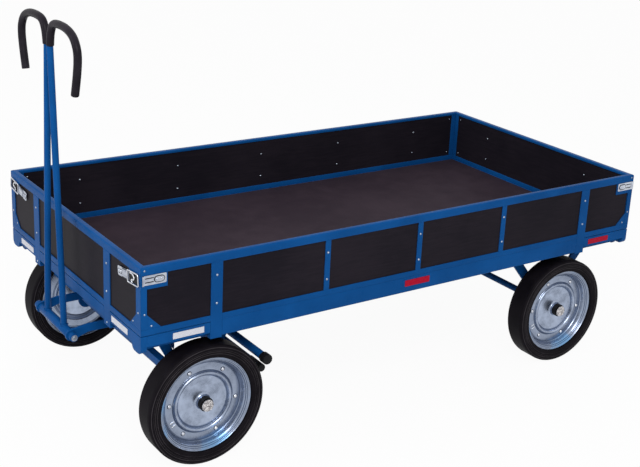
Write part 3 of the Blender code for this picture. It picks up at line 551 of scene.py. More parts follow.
class Form:
    """Closed shapes gathered into one mesh."""

    def __init__(self, place: Matrix | None = None) -> None:
        """Start with no shape; the place is where the finished mesh goes."""
        self.body, self.place = bmesh.new(), place or Matrix()

    def skin(self, rings: Sequence[Sequence[Point]], closed: bool = False, place: Matrix | None = None) -> None:
        """Join rings of points into a closed skin.

        Args:
            rings: Rings of equally many points; a ring of one point is a pole.
            closed: Whether the last ring joins the first; otherwise both ends are capped.
            place: Where the shape goes.
        """
        place = place or Matrix()
        made = [[self.body.verts.new(place @ Vector(point)) for point in ring_points] for ring_points in rings]
        for first, second in list(zip(made, made[1:])) + ([(made[-1], made[0])] if closed else []):
            for k in range(max(len(first), len(second))):
                corners = [row[n % len(row)] for row, n in ((first, k - 1), (first, k), (second, k), (second, k - 1))]
                self.body.faces.new(dict.fromkeys(corners))
        for cap in () if closed else (made[0], made[-1]):
            if len(cap) > 2:
                self.body.faces.new(cap)

    def turned(self, profile: Sequence[Pair], sides: int, closed: bool = True, place: Matrix = TO_Y) -> None:
        """Revolve a profile about the local Z axis.

        Args:
            profile: Radius and height pairs.
            sides: Segments round the axis.
            closed: Whether the profile closes on itself, as for a ring.
            place: Where the shape goes.
        """
        turns = [(cos(2 * pi * k / sides), sin(2 * pi * k / sides)) for k in range(sides)]
        self.skin([[(radius * x, radius * y, height) for x, y in (turns if radius > 0 else [(0.0, 0.0)])]
                   for radius, height in profile], closed, place)

    def prism(self, outline: Sequence[Pair], low: float, high: float, axis: str = "Y",
              holes: Sequence[Sequence[Pair]] = (), place: Matrix | None = None) -> None:
        """Extrude an outline along one axis.

        Args:
            outline: Points in the two other axes, in their alphabetical order.
            low: Where the prism starts along the axis.
            high: Where it ends.
            axis: The axis of the extrusion.
            holes: Outlines that are left open.
            place: Where the shape goes.
        """
        k = "XYZ".index(axis)
        loops = [[self.body.verts.new((*pair[:k], low, *pair[k:])) for pair in loop] for loop in (outline, *holes)]
        if holes:
            edges = [self.body.edges.new((loop[n - 1], loop[n])) for loop in loops for n in range(len(loop))]
            faces = [item for item in bmesh.ops.triangle_fill(self.body, edges=edges, use_beauty=True)["geom"]
                     if isinstance(item, bmesh.types.BMFace)]
        else:
            faces = [self.body.faces.new(loops[0])]
        grown = bmesh.ops.extrude_face_region(self.body, geom=faces, use_keep_orig=True)["geom"]
        tops = [item for item in grown if isinstance(item, bmesh.types.BMVert)]
        way = Vector([high - low if axis == name else 0.0 for name in "XYZ"])
        bmesh.ops.translate(self.body, verts=tops, vec=way)
        if place:
            bmesh.ops.transform(self.body, matrix=place, verts=[corner for loop in loops for corner in loop] + tops)

    def box(self, low: Point, high: Point) -> None:
        """A block between two opposite corners, for a later bevel."""
        (x0, x1), (y0, y1), (z0, z1) = (sorted(pair) for pair in zip(low, high))
        self.prism(rectangle((x0, z0), (x1, z1)), y0, y1)

    def tube(self, path: Sequence[Point], radius: float, sides: int, soft: float = 0.0) -> None:
        """Sweep a round section along a path.

        Args:
            path: Points of the centre line.
            radius: Radius of the section.
            sides: Sides of the section.
            soft: Rounding of the two ends.
        """
        spots = [Vector(point) for point in path]
        ways = [(after - before).normalized() for before, after in
                zip([spots[0], *spots], [*spots[1:], spots[-1]])]
        across = ways[0].orthogonal().normalized()
        stations: list[tuple[Vector, Vector, float]] = []
        for k, (spot, way) in enumerate(zip(spots, ways)):
            if soft > 0 and k in (0, len(spots) - 1):
                inward = way if k == 0 else -way
                rounds = [(spot + inward * soft * (1 - sin(angle)), way, radius - soft * (1 - cos(angle)))
                          for angle in (pi / 2, pi / 4, 0.0)]
                stations += rounds if k == 0 else rounds[::-1]
            else:
                stations.append((spot, way, radius))
        rings = []
        for spot, way, reach in stations:
            across = (across - way * across.dot(way)).normalized()
            rings.append(ring(spot, across, way.cross(across), reach, sides))
        self.skin(rings)

    def dome(self, spot: Point, facing: Point, radius: float, height: float, sides: int = 16) -> None:
        """A domed bolt or rivet head on a surface."""
        shares = [(1.0, 0.0), (1.0, 0.22), (0.93, 0.48), (0.78, 0.72), (0.52, 0.91), (0.24, 0.99), (0.0, 1.0)]
        self.turned([(radius * r, height * h) for r, h in shares], sides, False, aimed(spot, facing))

    def hexagon(self, spot: Point, facing: Point, across: float, height: float) -> None:
        """A hexagon nut or bolt head with a chamfered top."""
        shares = [(1.0, 0.0), (1.0, 0.85), (0.86, 1.0), (0.45, 1.0), (0.42, 0.8)]
        self.turned([(across / 2 / cos(pi / 6) * r, height * h) for r, h in shares], 6, False, aimed(spot, facing))

    def weld(self, start: Point, end: Point, radius: float = BEAD) -> None:
        """Lay a rippled weld bead.

        Args:
            start: Where it starts.
            end: Where it ends.
            radius: Mean radius of the bead.
        """
        first, way = Vector(start), Vector(end) - Vector(start)
        count = max(6, int(way.length / (radius * 0.45)))
        across = way.orthogonal().normalized()
        up = way.normalized().cross(across)
        rings = []
        for k in range(count + 1):
            share = k / count
            swell = (0.45 + 0.55 * min(1.0, 6 * share, 6 * (1 - share))) * (1 + 0.16 * sin(2.1 * k))
            rings.append(ring(first + way * share, across, up, radius * swell, 8))
        self.skin(rings)

    def mesh(self, name: str) -> bpy.types.Mesh:
        """Put the shapes in their place and close the form.

        Args:
            name: The mesh's name.

        Returns:
            One mesh with smooth shading and sharp edges.
        """
        bmesh.ops.transform(self.body, matrix=self.place, verts=self.body.verts)
        bmesh.ops.recalc_face_normals(self.body, faces=self.body.faces)
        made = bpy.data.meshes.new(name)
        self.body.to_mesh(made)
        self.body.free()
        made.shade_smooth()
        made.set_sharp_from_angle(angle=SMOOTH_ANGLE)
        return made


def linked(name: str, data: bpy.types.ID) -> bpy.types.Object:
    """Put new data into the scene.

    Args:
        name: The object's name.
        data: Its mesh, lamp or camera.

    Returns:
        The new object.
    """
    made = bpy.data.objects.new(name, data)
    bpy.context.scene.collection.objects.link(made)
    return made


@dataclass
class SubAssembly:
    """What every sub-assembly shares: its usual body, the list of its pieces and how one is added."""

    carrier: ClassVar[Body] = Body.CHASSIS
    pieces: list[bpy.types.Object] = field(default_factory=list, init=False)

    def add(self, name: str, form: Form, finish: Finish, nodes: Iterable[str] = (), bevel: float = 0.0,
            body: str = "", slot: Slot | None = None, spot: Point = (0, 0, 0), turn: float = 0.0) -> None:
        """Turn a form into a piece that rides on a body.

        Args:
            name: The piece's plain name.
            form: Its shapes.
            finish: Its surface.
            nodes: CAD nodes that the piece stands for.
            bevel: Rounding of its sharp edges.
            body: The CAD body that it rides on, where that isn't the usual one.
            slot: The record's slot, where that isn't the finish's own; not used.
            spot: Place of the piece's own origin.
            turn: Turn about the vertical axis.
        """
        piece = linked(name, form.mesh(name))
        piece.data.materials.append(finish.material())
        piece.location, piece.rotation_euler = spot, (0, 0, turn)
        if bevel > 0:
            edges = piece.modifiers.new("edge_rounding", "BEVEL")
            edges.width, edges.segments = bevel, 2
            edges.limit_method, edges.angle_limit = "ANGLE", SMOOTH_ANGLE
            edges.harden_normals = edges.use_clamp_overlap = True
        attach(piece, str(body or self.carrier))
        if nodes:
            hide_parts(*nodes)
        self.pieces.append(piece)

    def coat(self, nodes: Iterable[str], label: str, finish: Finish, bevel: float) -> None:
        """Stand copies of CAD nodes with rounded edges in the nodes' places.

        Args:
            nodes: The CAD nodes.
            label: Last word of the copies' names.
            finish: Their surface.
            bevel: Rounding of their sharp edges.
        """
        for node in nodes:
            form = Form()
            form.body.from_mesh(frame["nodes"][node].data)
            bmesh.ops.remove_doubles(form.body, verts=form.body.verts, dist=1e-6)
            bmesh.ops.dissolve_limit(form.body, angle_limit=radians(0.5), verts=form.body.verts, edges=form.body.edges)
            self.add(f"{node}_{label}", form, finish, [node], bevel, frame["nodes"][node]["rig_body"])

    def dress(self, node: str, finish: Finish) -> None:
        """Give a CAD node that stays in view its finish.

        Args:
            node: The CAD node.
            finish: Its surface.
        """
        shown = frame["nodes"][node]
        shown.data.materials.clear()
        shown.data.materials.append(finish.material())
        self.pieces.append(shown)


@dataclass
class Studio:
    """Floor, backdrop, lamps and the camera of the photograph's view."""

    camera_spot: Point = (2.3667, 3.3934, 1.9912)
    right: Point = (-0.82739, 0.55969, 0.04649)
    up: Point = (-0.14088, -0.28696, 0.94753)
    back: Point = (0.54367, 0.77743, 0.31627)
    lens: float = 67.21
    shift: Pair = (-0.00964, -0.05745)
    floor_radius: float = 60.0
    sky: float = 0.62

    def build(self) -> None:
        """Set up everything that isn't part of the cart."""
        self.build_floor()
        self.build_world()
        self.build_lamps()
        self.build_camera()

    def build_floor(self) -> None:
        """A round floor just under the wheels."""
        form = Form()
        rim = arc((0.0, 0.0), self.floor_radius, 0.0, 2 * pi * 63 / 64, 63)
        form.body.faces.new([form.body.verts.new((x, y, -SEAT_GAP)) for x, y in rim])
        floor = linked("studio_floor", form.mesh("studio_floor"))
        floor.data.materials.append(StudioFloor("studio_floor").material())

    def build_world(self) -> None:
        """A white backdrop that lights the cart at a plain level."""
        world = bpy.context.scene.world = bpy.data.worlds.new("studio")
        world.use_nodes = True
        graph = Graph(world.node_tree)
        strength = self.sky + graph.seen() * (1.0 - self.sky)
        graph.close(graph.node("ShaderNodeBackground", None, {"Color": (1.0, 1.0, 1.0, 1.0), "Strength": strength}),
                    "ShaderNodeOutputWorld")

    def build_lamps(self) -> None:
        """One wide soft lamp above the photographer and a weaker one from the drawbar's side."""
        for name, spot, aim, size, power in (("key_lamp", (2.4, 3.9, 4.2), (0.2, 0, 0.4), 2.6, 170.0),
                                             ("side_lamp", (5.2, -0.6, 3.2), (0.3, 0, 0.4), 2.4, 70.0)):
            light = bpy.data.lights.new(name, "AREA")
            light.shape, light.size, light.energy = "DISK", size, power
            lamp = linked(name, light)
            lamp.location, lamp.rotation_mode = spot, "QUATERNION"
            lamp.rotation_quaternion = (Vector(aim) - Vector(spot)).to_track_quat("-Z", "Y")

    def build_camera(self) -> None:
        """The camera that was fitted to the photograph."""
        data = bpy.data.cameras.new("photo_camera")
        data.sensor_width, data.lens = 36.0, self.lens
        data.shift_x, data.shift_y = self.shift
        data.clip_start, data.clip_end = 0.05, 200.0
        camera = bpy.context.scene.camera = linked("photo_camera", data)
        turn = Matrix((self.right, self.up, self.back)).transposed().to_4x4()
        camera.matrix_world = Matrix.Translation(self.camera_spot) @ turn
        bpy.context.scene.view_settings.view_transform = "Standard"


@dataclass
class PlatformFrame(SubAssembly):
    """Edge rails, cross members, deck, aprons and the reflectors on them."""

    middle: float = 0.0
    bevel: float = 0.0012
    apron_bevel: float = 0.0022
    strip_bevel: float = 0.0006
    strip_thickness: float = 0.0018
    strip_sink: float = 0.0002
    wall_depth: float = 0.0197
    apron_heights: Pair = (0.449, 0.4836)
    lug_bottom: float = 0.426
    lug_width: float = 0.060
    end_stake: Pair = (0.2625, 0.3075)
    side_stake: float = 0.790
    strip_heights: Pair = (0.4565, 0.4760)
    front_strip: Pair = (0.320, 0.432)
    side_strip: Pair = (0.812, 0.916)

    def build(self) -> None:
        """Coat the rails and cross members, dress the deck and add the aprons, strips and weld beads."""
        members = [f"side_rail_{side}" for side, _ in SIDES] + [f"end_rail_{end}" for end, _ in ENDS]
        members += [f"cross_member_{number}" for number in range(1, 7)]
        self.coat(members, "coated", PAINT, self.bevel)
        self.dress("deck", DECK)
        self.build_aprons()
        self.build_strips()
        self.build_welds()

    @property
    def faces(self) -> Pair:
        """Distances from the platform's middle to the aprons' inner faces, along X and Y."""
        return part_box("end_rail_front")[1].x - self.middle + SEAT_GAP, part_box("side_rail_left")[1].y + SEAT_GAP

    def build_aprons(self) -> None:
        """Flush aprons under the walls, outside the stakes and between the stakes of each end."""
        middle, (face_x, face_y), (low, high) = self.middle, self.faces, self.apron_heights
        outer, stake, reach = face_y + self.wall_depth, self.end_stake[1] + SEAT_GAP, self.end_stake[0] - SEAT_GAP
        lug = outer - self.lug_width
        corner = rounded([(stake, low), (lug, low), (lug, self.lug_bottom), (outer, self.lug_bottom), (outer, high),
                          (stake, high)], [0.0006, 0.002, 0.018, 0.018, 0.0006, 0.0006])
        for name, end in ENDS:
            form = Form()
            plane = sorted(middle + end * x for x in (face_x, face_x + self.wall_depth))
            for side in (-1, 1):
                form.prism([(side * y, z) for y, z in corner], *plane, "X")
                form.box((middle + end * (self.side_stake + SEAT_GAP), side * face_y, low),
                         (middle + end * (face_x - SEAT_GAP), side * outer, high))
            form.prism(rectangle((-reach, low), (reach, high)), *plane, "X")
            self.add(f"platform_apron_{name}", form, PAINT, bevel=self.apron_bevel)

    def build_strips(self) -> None:
        """White strips in front and on the sides' front ends, and red ones behind."""
        middle, (low, high), thick = self.middle, self.strip_heights, self.strip_thickness
        face_x, face_y = (face + self.wall_depth - self.strip_sink for face in self.faces)
        for name, side in reversed(SIDES):
            for end, finish, colour in ((1, WHITE, "white"), (-1, RED, "red")):
                for edge, x, y in (("end", (face_x, face_x + thick), self.front_strip),
                                   ("side", self.side_strip, (face_y, face_y + thick))):
                    form = Form()
                    form.box((middle + end * x[0], side * y[0], low), (middle + end * x[1], side * y[1], high))
                    self.add(f"reflector_{colour}_{edge}_{name}", form, finish, bevel=self.strip_bevel)

    def build_welds(self) -> None:
        """Beads where the cross members meet the side rails."""
        form = Form()
        for number in range(1, 7):
            low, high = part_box(f"cross_member_{number}")
            for y in (0.001 - high.y, high.y - 0.001):
                for x in (low.x, high.x):
                    form.weld((x, y, low.z + 0.003), (x, y, high.z - 0.006))
        self.add("cross_member_welds", form, PAINT)


@dataclass
class SidePiece(SubAssembly):
    """Bent sheet steel on one side of the platform. Local X runs along the side, and Y points outwards."""

    name: str = "left"
    spot: Point = (0, 0, 0)
    turn: float = 0.0
    thickness: float = 0.0197
    sheet: float = 0.003

    @property
    def place(self) -> Matrix:
        """Place of the local axes."""
        return Matrix.Translation(self.spot) @ Matrix.Rotation(self.turn, 4, "Z")


@dataclass
class Wall(SidePiece):
    """One wall: rails, posts, stakes, gussets and bolts round a plywood panel."""

    length: float = WALL_LENGTH
    stake_place: float = 0.770
    stake_width: float = 0.040
    posts: tuple[float, ...] = ()
    post_width: float = 0.020
    latch_plate: float = 0.086
    top: float = 0.700
    bottom: float = 0.487
    foot: float = 0.428
    rail: float = 0.025
    low_rail: float = 0.019
    post: float = 0.020
    post_face: float = 0.020
    inner_lip: float = 0.011
    plate_drop: float = 0.043
    gusset: float = 0.045
    overhang: float = 0.0026
    skirted: bool = False
    bevel: float = 0.0006
    bolt_heights: Pair = (0.634, 0.543)
    inner_heights: Pair = (0.672, 0.522)
    inner_inset: float = 0.053
    corner_bolts: tuple[Pair, ...] = ((0.012, 0.554), (0.034, 0.515), (0.012, 0.690))
    post_head: Pair = (0.0037, 0.0022)
    post_tail: Pair = (0.0038, 0.0028)
    corner_head: Pair = (0.0030, 0.0018)
    corner_tail: Pair = (0.0030, 0.0028)
    foot_head: Pair = (0.0032, 0.0020)

    @property
    def half(self) -> float:
        """Half length up to the mitre."""
        return self.length / 2 - 0.0002

    @property
    def opening(self) -> Pair:
        """Heights between which the posts stand."""
        return self.bottom + self.low_rail + SEAT_GAP, self.top - self.rail - SEAT_GAP

    def build(self) -> None:
        """Build the wall's welded steel and its bolts, and dress the panel."""
        self.build_welds()
        form = Form(self.place)
        self.build_rails(form)
        low, high = self.opening
        for side in (-1, 1):
            self.build_corner(form, side)
            self.build_stake(form, side * self.stake_place)
        for place in self.posts:
            form.box((place - self.post_width / 2, -self.sheet, low), (place + self.post_width / 2, 0, high))
        self.add(f"wall_frame_{self.name}_welded", form, PAINT, [f"wall_frame_{self.name}"], self.bevel)
        self.build_bolts()
        self.dress(f"wall_panel_{self.name}", PANEL)

    def build_welds(self) -> None:
        """Fine beads where the posts and stakes meet the rails."""
        form = Form(self.place)
        low, high = self.opening
        for places, width, heights in ((self.posts, self.post_width, (high, low)),
                                       ((-self.stake_place, self.stake_place), self.stake_width, (high,))):
            reach = width / 2 - 0.001
            for place in places:
                for height in heights:
                    form.weld((place - reach, -0.0004, height), (place + reach, -0.0004, height), FINE_BEAD)
        self.add(f"wall_welds_{self.name}", form, PAINT)

    @staticmethod
    def bar(form: Form, section: Sequence[Pair], low: float, high: float, mitres: tuple[int, int] = (0, 0)) -> None:
        """Sweep a section along the wall.

        Args:
            form: Where the bar is added.
            section: Inward depth and height pairs.
            low: Local X where the bar starts.
            high: Local X where it ends.
            mitres: One for a start or end that is mitred, else zero.
        """
        form.skin([[(low + mitres[0] * depth, -depth, height) for depth, height in section],
                   [(high - mitres[1] * depth, -depth, height) for depth, height in section]])

    def build_rails(self, form: Form) -> None:
        """Add the top rail over the panel's edge and the bottom rail in lengths between the stakes.

        Args:
            form: Where they are added.
        """
        deep, sheet, half, top, bottom = self.thickness, self.sheet, self.half, self.top, self.bottom
        lip, back, rise = top - self.inner_lip, deep - sheet, bottom + self.low_rail
        upper = [(0, top - self.rail), (0, top), (deep, top), (deep, lip), (back, lip), (back, top - sheet),
                 (sheet, top - sheet), (sheet, top - self.rail)]
        self.bar(form, rounded(upper, [0.001, 0.0042, 0.0042, 0.001, 0.001, 0.0012, 0.0012, 0.001]), -half, half,
                 (1, 1))
        lower = [(0, bottom), (0, rise), (sheet, rise), (sheet, bottom + sheet), (back, bottom + sheet), (back, rise),
                 (deep, rise), (deep, bottom)]
        hung = [(depth, height - (self.overhang if height < bottom + sheet else 0))
                for depth, height in rounded(lower, [0.0034, *[0.001] * 6, 0.0006])]
        middle = rounded(lower, [0.0006, *[0.001] * 6, 0.0006]) if self.skirted else hung
        inner, edge = self.stake_place - self.stake_width / 2, self.stake_place + self.stake_width / 2
        self.bar(form, hung, -half, -edge, (1, 0))
        self.bar(form, middle, -inner, inner)
        self.bar(form, hung, edge, half, (0, 1))
        behind = [(sheet + SEAT_GAP, bottom), (sheet + SEAT_GAP, bottom + sheet), *lower[4:]]
        for side in (-1, 1):
            self.bar(form, behind, *sorted((side * inner, side * edge)))

    def build_corner(self, form: Form, side: int) -> None:
        """Add the corner post with its mitred web, the latch plate and the gusset of one end.

        Args:
            form: Where they are added.
            side: The end, as a sign along local X.
        """
        deep, sheet, half, (low, high) = self.thickness, self.sheet, self.half, self.opening
        slant, edge, back = sheet * 2 ** 0.5, half - self.post_face, half - deep
        outer = [(half, 0), (edge, 0), (edge, -sheet), (half - sheet, -sheet)]
        web = [(half - sheet - SEAT_GAP, -sheet - SEAT_GAP), (half - sheet - slant, -sheet - SEAT_GAP),
               (back + sheet - slant, -deep + sheet), (back - self.post, -deep + sheet), (back - self.post, -deep),
               (back, -deep)]
        form.prism([(side * x, y) for x, y in outer], low, high, "Z")
        form.prism([(side * x, y) for x, y in web], low, self.top - self.inner_lip - SEAT_GAP, "Z")
        form.box((side * (half - self.latch_plate), -sheet, high - self.plate_drop),
                 (side * (edge - SEAT_GAP), 0, high))
        inner, reach = edge - SEAT_GAP, self.gusset + self.post - self.post_face
        form.prism([(side * x, z) for x, z in ((inner, low), (inner - reach, low), (inner, low + reach))],
                   -sheet, -SEAT_GAP)

    def build_stake(self, form: Form, place: float) -> None:
        """Add a wide post that reaches down over the platform as a channel.

        Args:
            form: Where it is added.
            place: Its middle along local X.
        """
        reach = self.stake_width / 2 - SEAT_GAP
        form.box((place - reach, -self.sheet, self.foot), (place + reach, 0, self.opening[1]))
        for near in (place - reach, place + reach - self.sheet):
            form.box((near, -self.thickness, self.foot),
                     (near + self.sheet, -self.sheet - 0.0001, self.bottom - SEAT_GAP))

    def build_bolts(self) -> None:
        """Domed bolts through every post, with their inner ends on the panel."""
        form = Form(self.place)
        inner = self.sheet + SEAT_GAP - self.thickness
        for place in (*self.posts, -self.stake_place, self.stake_place):
            for height in self.bolt_heights:
                form.dome((place, 0.0, height), OUTWARDS, *self.post_head)
                form.dome((place, inner, height), INWARDS, *self.post_tail)
        for side in (-1, 1):
            for inset, height in self.corner_bolts:
                form.dome((side * (self.half - inset), 0.0, height), OUTWARDS, *self.corner_head)
            if not self.skirted:
                form.dome((side * self.stake_place, 0.0, self.foot + 0.012), OUTWARDS, *self.foot_head)
            for height in self.inner_heights:
                form.dome((side * (self.half - self.inner_inset), inner, height), INWARDS, *self.corner_tail)
        self.add(f"wall_bolts_{self.name}", form, BOLT)


@dataclass
class Skirt(SidePiece):
    """Deep channel between the stakes of a long side, with a red reflector."""

    half: float = 0.7497
    bottom: float = 0.432
    top: float = 0.4867
    strip_half: float = 0.052
    strip_heights: Pair = (0.4545, 0.4765)

    def build(self) -> None:
        """Build the channel and its strip."""
        deep, sheet, low, high = self.thickness, self.sheet, self.bottom, self.top
        corners = [(0, low), (deep, low), (deep, low + sheet), (sheet, low + sheet), (sheet, high - sheet),
                   (deep, high - sheet), (deep, high), (0, high)]
        section = rounded(corners, [0.0045, 0.001, 0.001, 0.0015, 0.0015, 0.001, 0.001, 0.0006], 5)
        form = Form(self.place)
        form.skin([[(end * self.half, -depth, height) for depth, height in section] for end in (-1, 1)])
        self.add(f"side_skirt_{self.name}_coated", form, PAINT, [f"side_skirt_{self.name}"], 0.0004)
        strip = Form(self.place)
        strip.box((-self.strip_half, SEAT_GAP, self.strip_heights[0]), (self.strip_half, 0.0020, self.strip_heights[1]))
        self.add(f"reflector_red_skirt_{self.name}", strip, RED, bevel=0.0006)


@dataclass
class CornerLatch(SubAssembly):
    """Toggle lever on an end wall and strike plate on the side wall next to it."""

    name: str = "front_left"
    end: int = 1
    side: int = 1
    middle: float = 0.0
    lever_height: float = 0.644
    strike_heights: Pair = (0.645, 0.675)
    tilt: float = radians(6.2)
    lever_end: float = 0.150
    plate: float = 0.0016
    lever_face: float = 0.0034
    rivets: Pair = (0.128, 0.141)
    bail_radius: float = 0.0021
    link_radius: float = 0.0025
    strike_face: float = 0.0019
    oval_face: float = 0.0032

    def axes(self, inwards: Point, outwards: Point, height: float = 0.0) -> Matrix:
        """Axes at the corner: X inwards along a wall, Y outwards from it."""
        spot = (self.middle + self.end * WALL_LENGTH / 2, self.side * WALL_WIDTH / 2, height)
        return Matrix.Translation(spot) @ Matrix((inwards, outwards, (0, 0, 1))).transposed().to_4x4()

    @property
    def lever_axes(self) -> Matrix:
        """Axes on the end wall, tilted up to the corner about the lever's inner end."""
        pivot = Matrix.Translation((self.lever_end, 0, 0))
        return (self.axes((0, -self.side, 0), (self.end, 0, 0), self.lever_height)
                @ pivot @ Matrix.Rotation(self.tilt, 4, "Y") @ pivot.inverted())

    def build(self) -> None:
        """Build the lever with its painted shade and wire bail, and the strike plate."""
        self.build_lever()
        self.build_seat()
        self.build_bail()
        self.build_strike()

    def build_lever(self) -> None:
        """The base plate and the pressed lever."""
        form, plate, face = Form(self.lever_axes), self.plate, self.lever_face
        outline = rounded(rectangle((0.074, -0.015), (self.lever_end, 0.015)), [0.001, 0.006, 0.006, 0.001])
        form.prism(outline, SEAT_GAP, plate)
        form.box((0.082, plate, -0.0115), (0.118, face, 0.0115))
        for height in (-0.0070, 0.0070):
            form.box((0.085, face, height - 0.0014), (0.115, face + 0.0010, height + 0.0014))
        for along in self.rivets:
            form.dome((along, plate, 0), OUTWARDS, 0.0058, 0.0026, 20)
        form.box((0.0765, plate, -0.0142), (0.0805, 0.0050, 0.0142))
        self.add(f"latch_lever_{self.name}_pressed", form, ZINC, [f"latch_lever_{self.name}"], 0.0005)

    def build_seat(self) -> None:
        """Painted shade by the lever: a dark plate in its shadow, dark rings round its rivets and dark lines along it.
        """
        form = Form(self.lever_axes)
        # Painted shade: dark plate, rings and lines where the lever's parts lie in shadow.
        form.box((0.010, SEAT_GAP, -0.016), (0.0735, 0.0012, 0.016))
        for along in self.rivets:
            form.turned([(0.0060, -0.0003), (0.0078, -0.0003), (0.0076, 0.0005), (0.0062, 0.0005)], 20,
                        place=Matrix.Translation((along, self.plate, 0)) @ TO_Y)
        for height in (-0.0135, 0.0135):
            form.box((0.084, 0.0014, height - 0.0009), (0.120, 0.0021, height + 0.0009))
        self.add(f"latch_lever_painted_shade_{self.name}", form, DARK, bevel=0.0003)

    def build_bail(self) -> None:
        """The bright wire bail and its link."""
        form = Form(self.lever_axes)
        loop = rounded(rectangle((0.0078, -0.0182), (0.078, 0.0182)), [0.006, 0.003, 0.003, 0.006], 5)
        link = smooth_path([(0.060, 0.013), (0.044, 0.012), (0.034, 0.003), (0.040, -0.004), (0.052, -0.006),
                            (0.050, -0.014)], 5)
        form.tube([(x, 0.0036, z) for x, z in [*loop, loop[0]]], self.bail_radius, 10)
        form.tube([(x, 0.0032, z) for x, z in link], self.link_radius, 10)
        self.add(f"latch_bail_{self.name}", form, FASTENER)

    def build_strike(self) -> None:
        """The plate with a hooked end, two slots and a raised oval under two rivets, and painted shade round the oval
        and in the slots.
        """
        axes = self.axes((-self.end, 0, 0), (0, self.side, 0))
        form, shade, face, top = Form(axes), Form(axes), self.strike_face, self.oval_face
        low, high = self.strike_heights
        middle = (low + high) / 2
        outline = rounded(rectangle((0.004, low), (0.082, high)), [0.001, 0.004, 0.004, 0.001])
        slots = [rounded(rectangle((0.013, middle + height - 0.0016), (0.041, middle + height + 0.0016)), 0.0014)
                 for height in (-0.0062, 0.0062)]
        hook = rounded([(0.004, SEAT_GAP), (0.010, SEAT_GAP), (0.010, 0.0022), (0.007, 0.0058), (0.004, 0.0058)],
                       [0, 0, 0.002, 0.001, 0.001])
        around, oval = (arc((0.066, middle), radius, -pi / 2, pi, 10) + arc((0.052, middle), radius, pi / 2, pi, 10)
                        for radius in (0.0105, 0.0080))
        form.prism(outline, SEAT_GAP, face, holes=slots)
        form.prism(hook, low, high, "Z")
        form.prism(oval, face, top)
        for along in (0.0515, 0.0665):
            form.dome((along, top, middle), OUTWARDS, 0.0044, 0.0020)
        # Painted shade: a dark ring round the oval and dark inlays in the slots.
        shade.prism(around, face + SEAT_GAP, 0.0026, holes=(oval,))
        for slot in slots:
            shade.prism([(u + (0.0003 if u < 0.027 else -0.0003), z) for u, z in slot], SEAT_GAP, 0.0008)
        self.add(f"latch_strike_painted_shade_{self.name}", shade, DARK)
        self.add(f"latch_strike_{self.name}_pressed", form, ZINC, [f"latch_strike_{self.name}"], 0.0004)


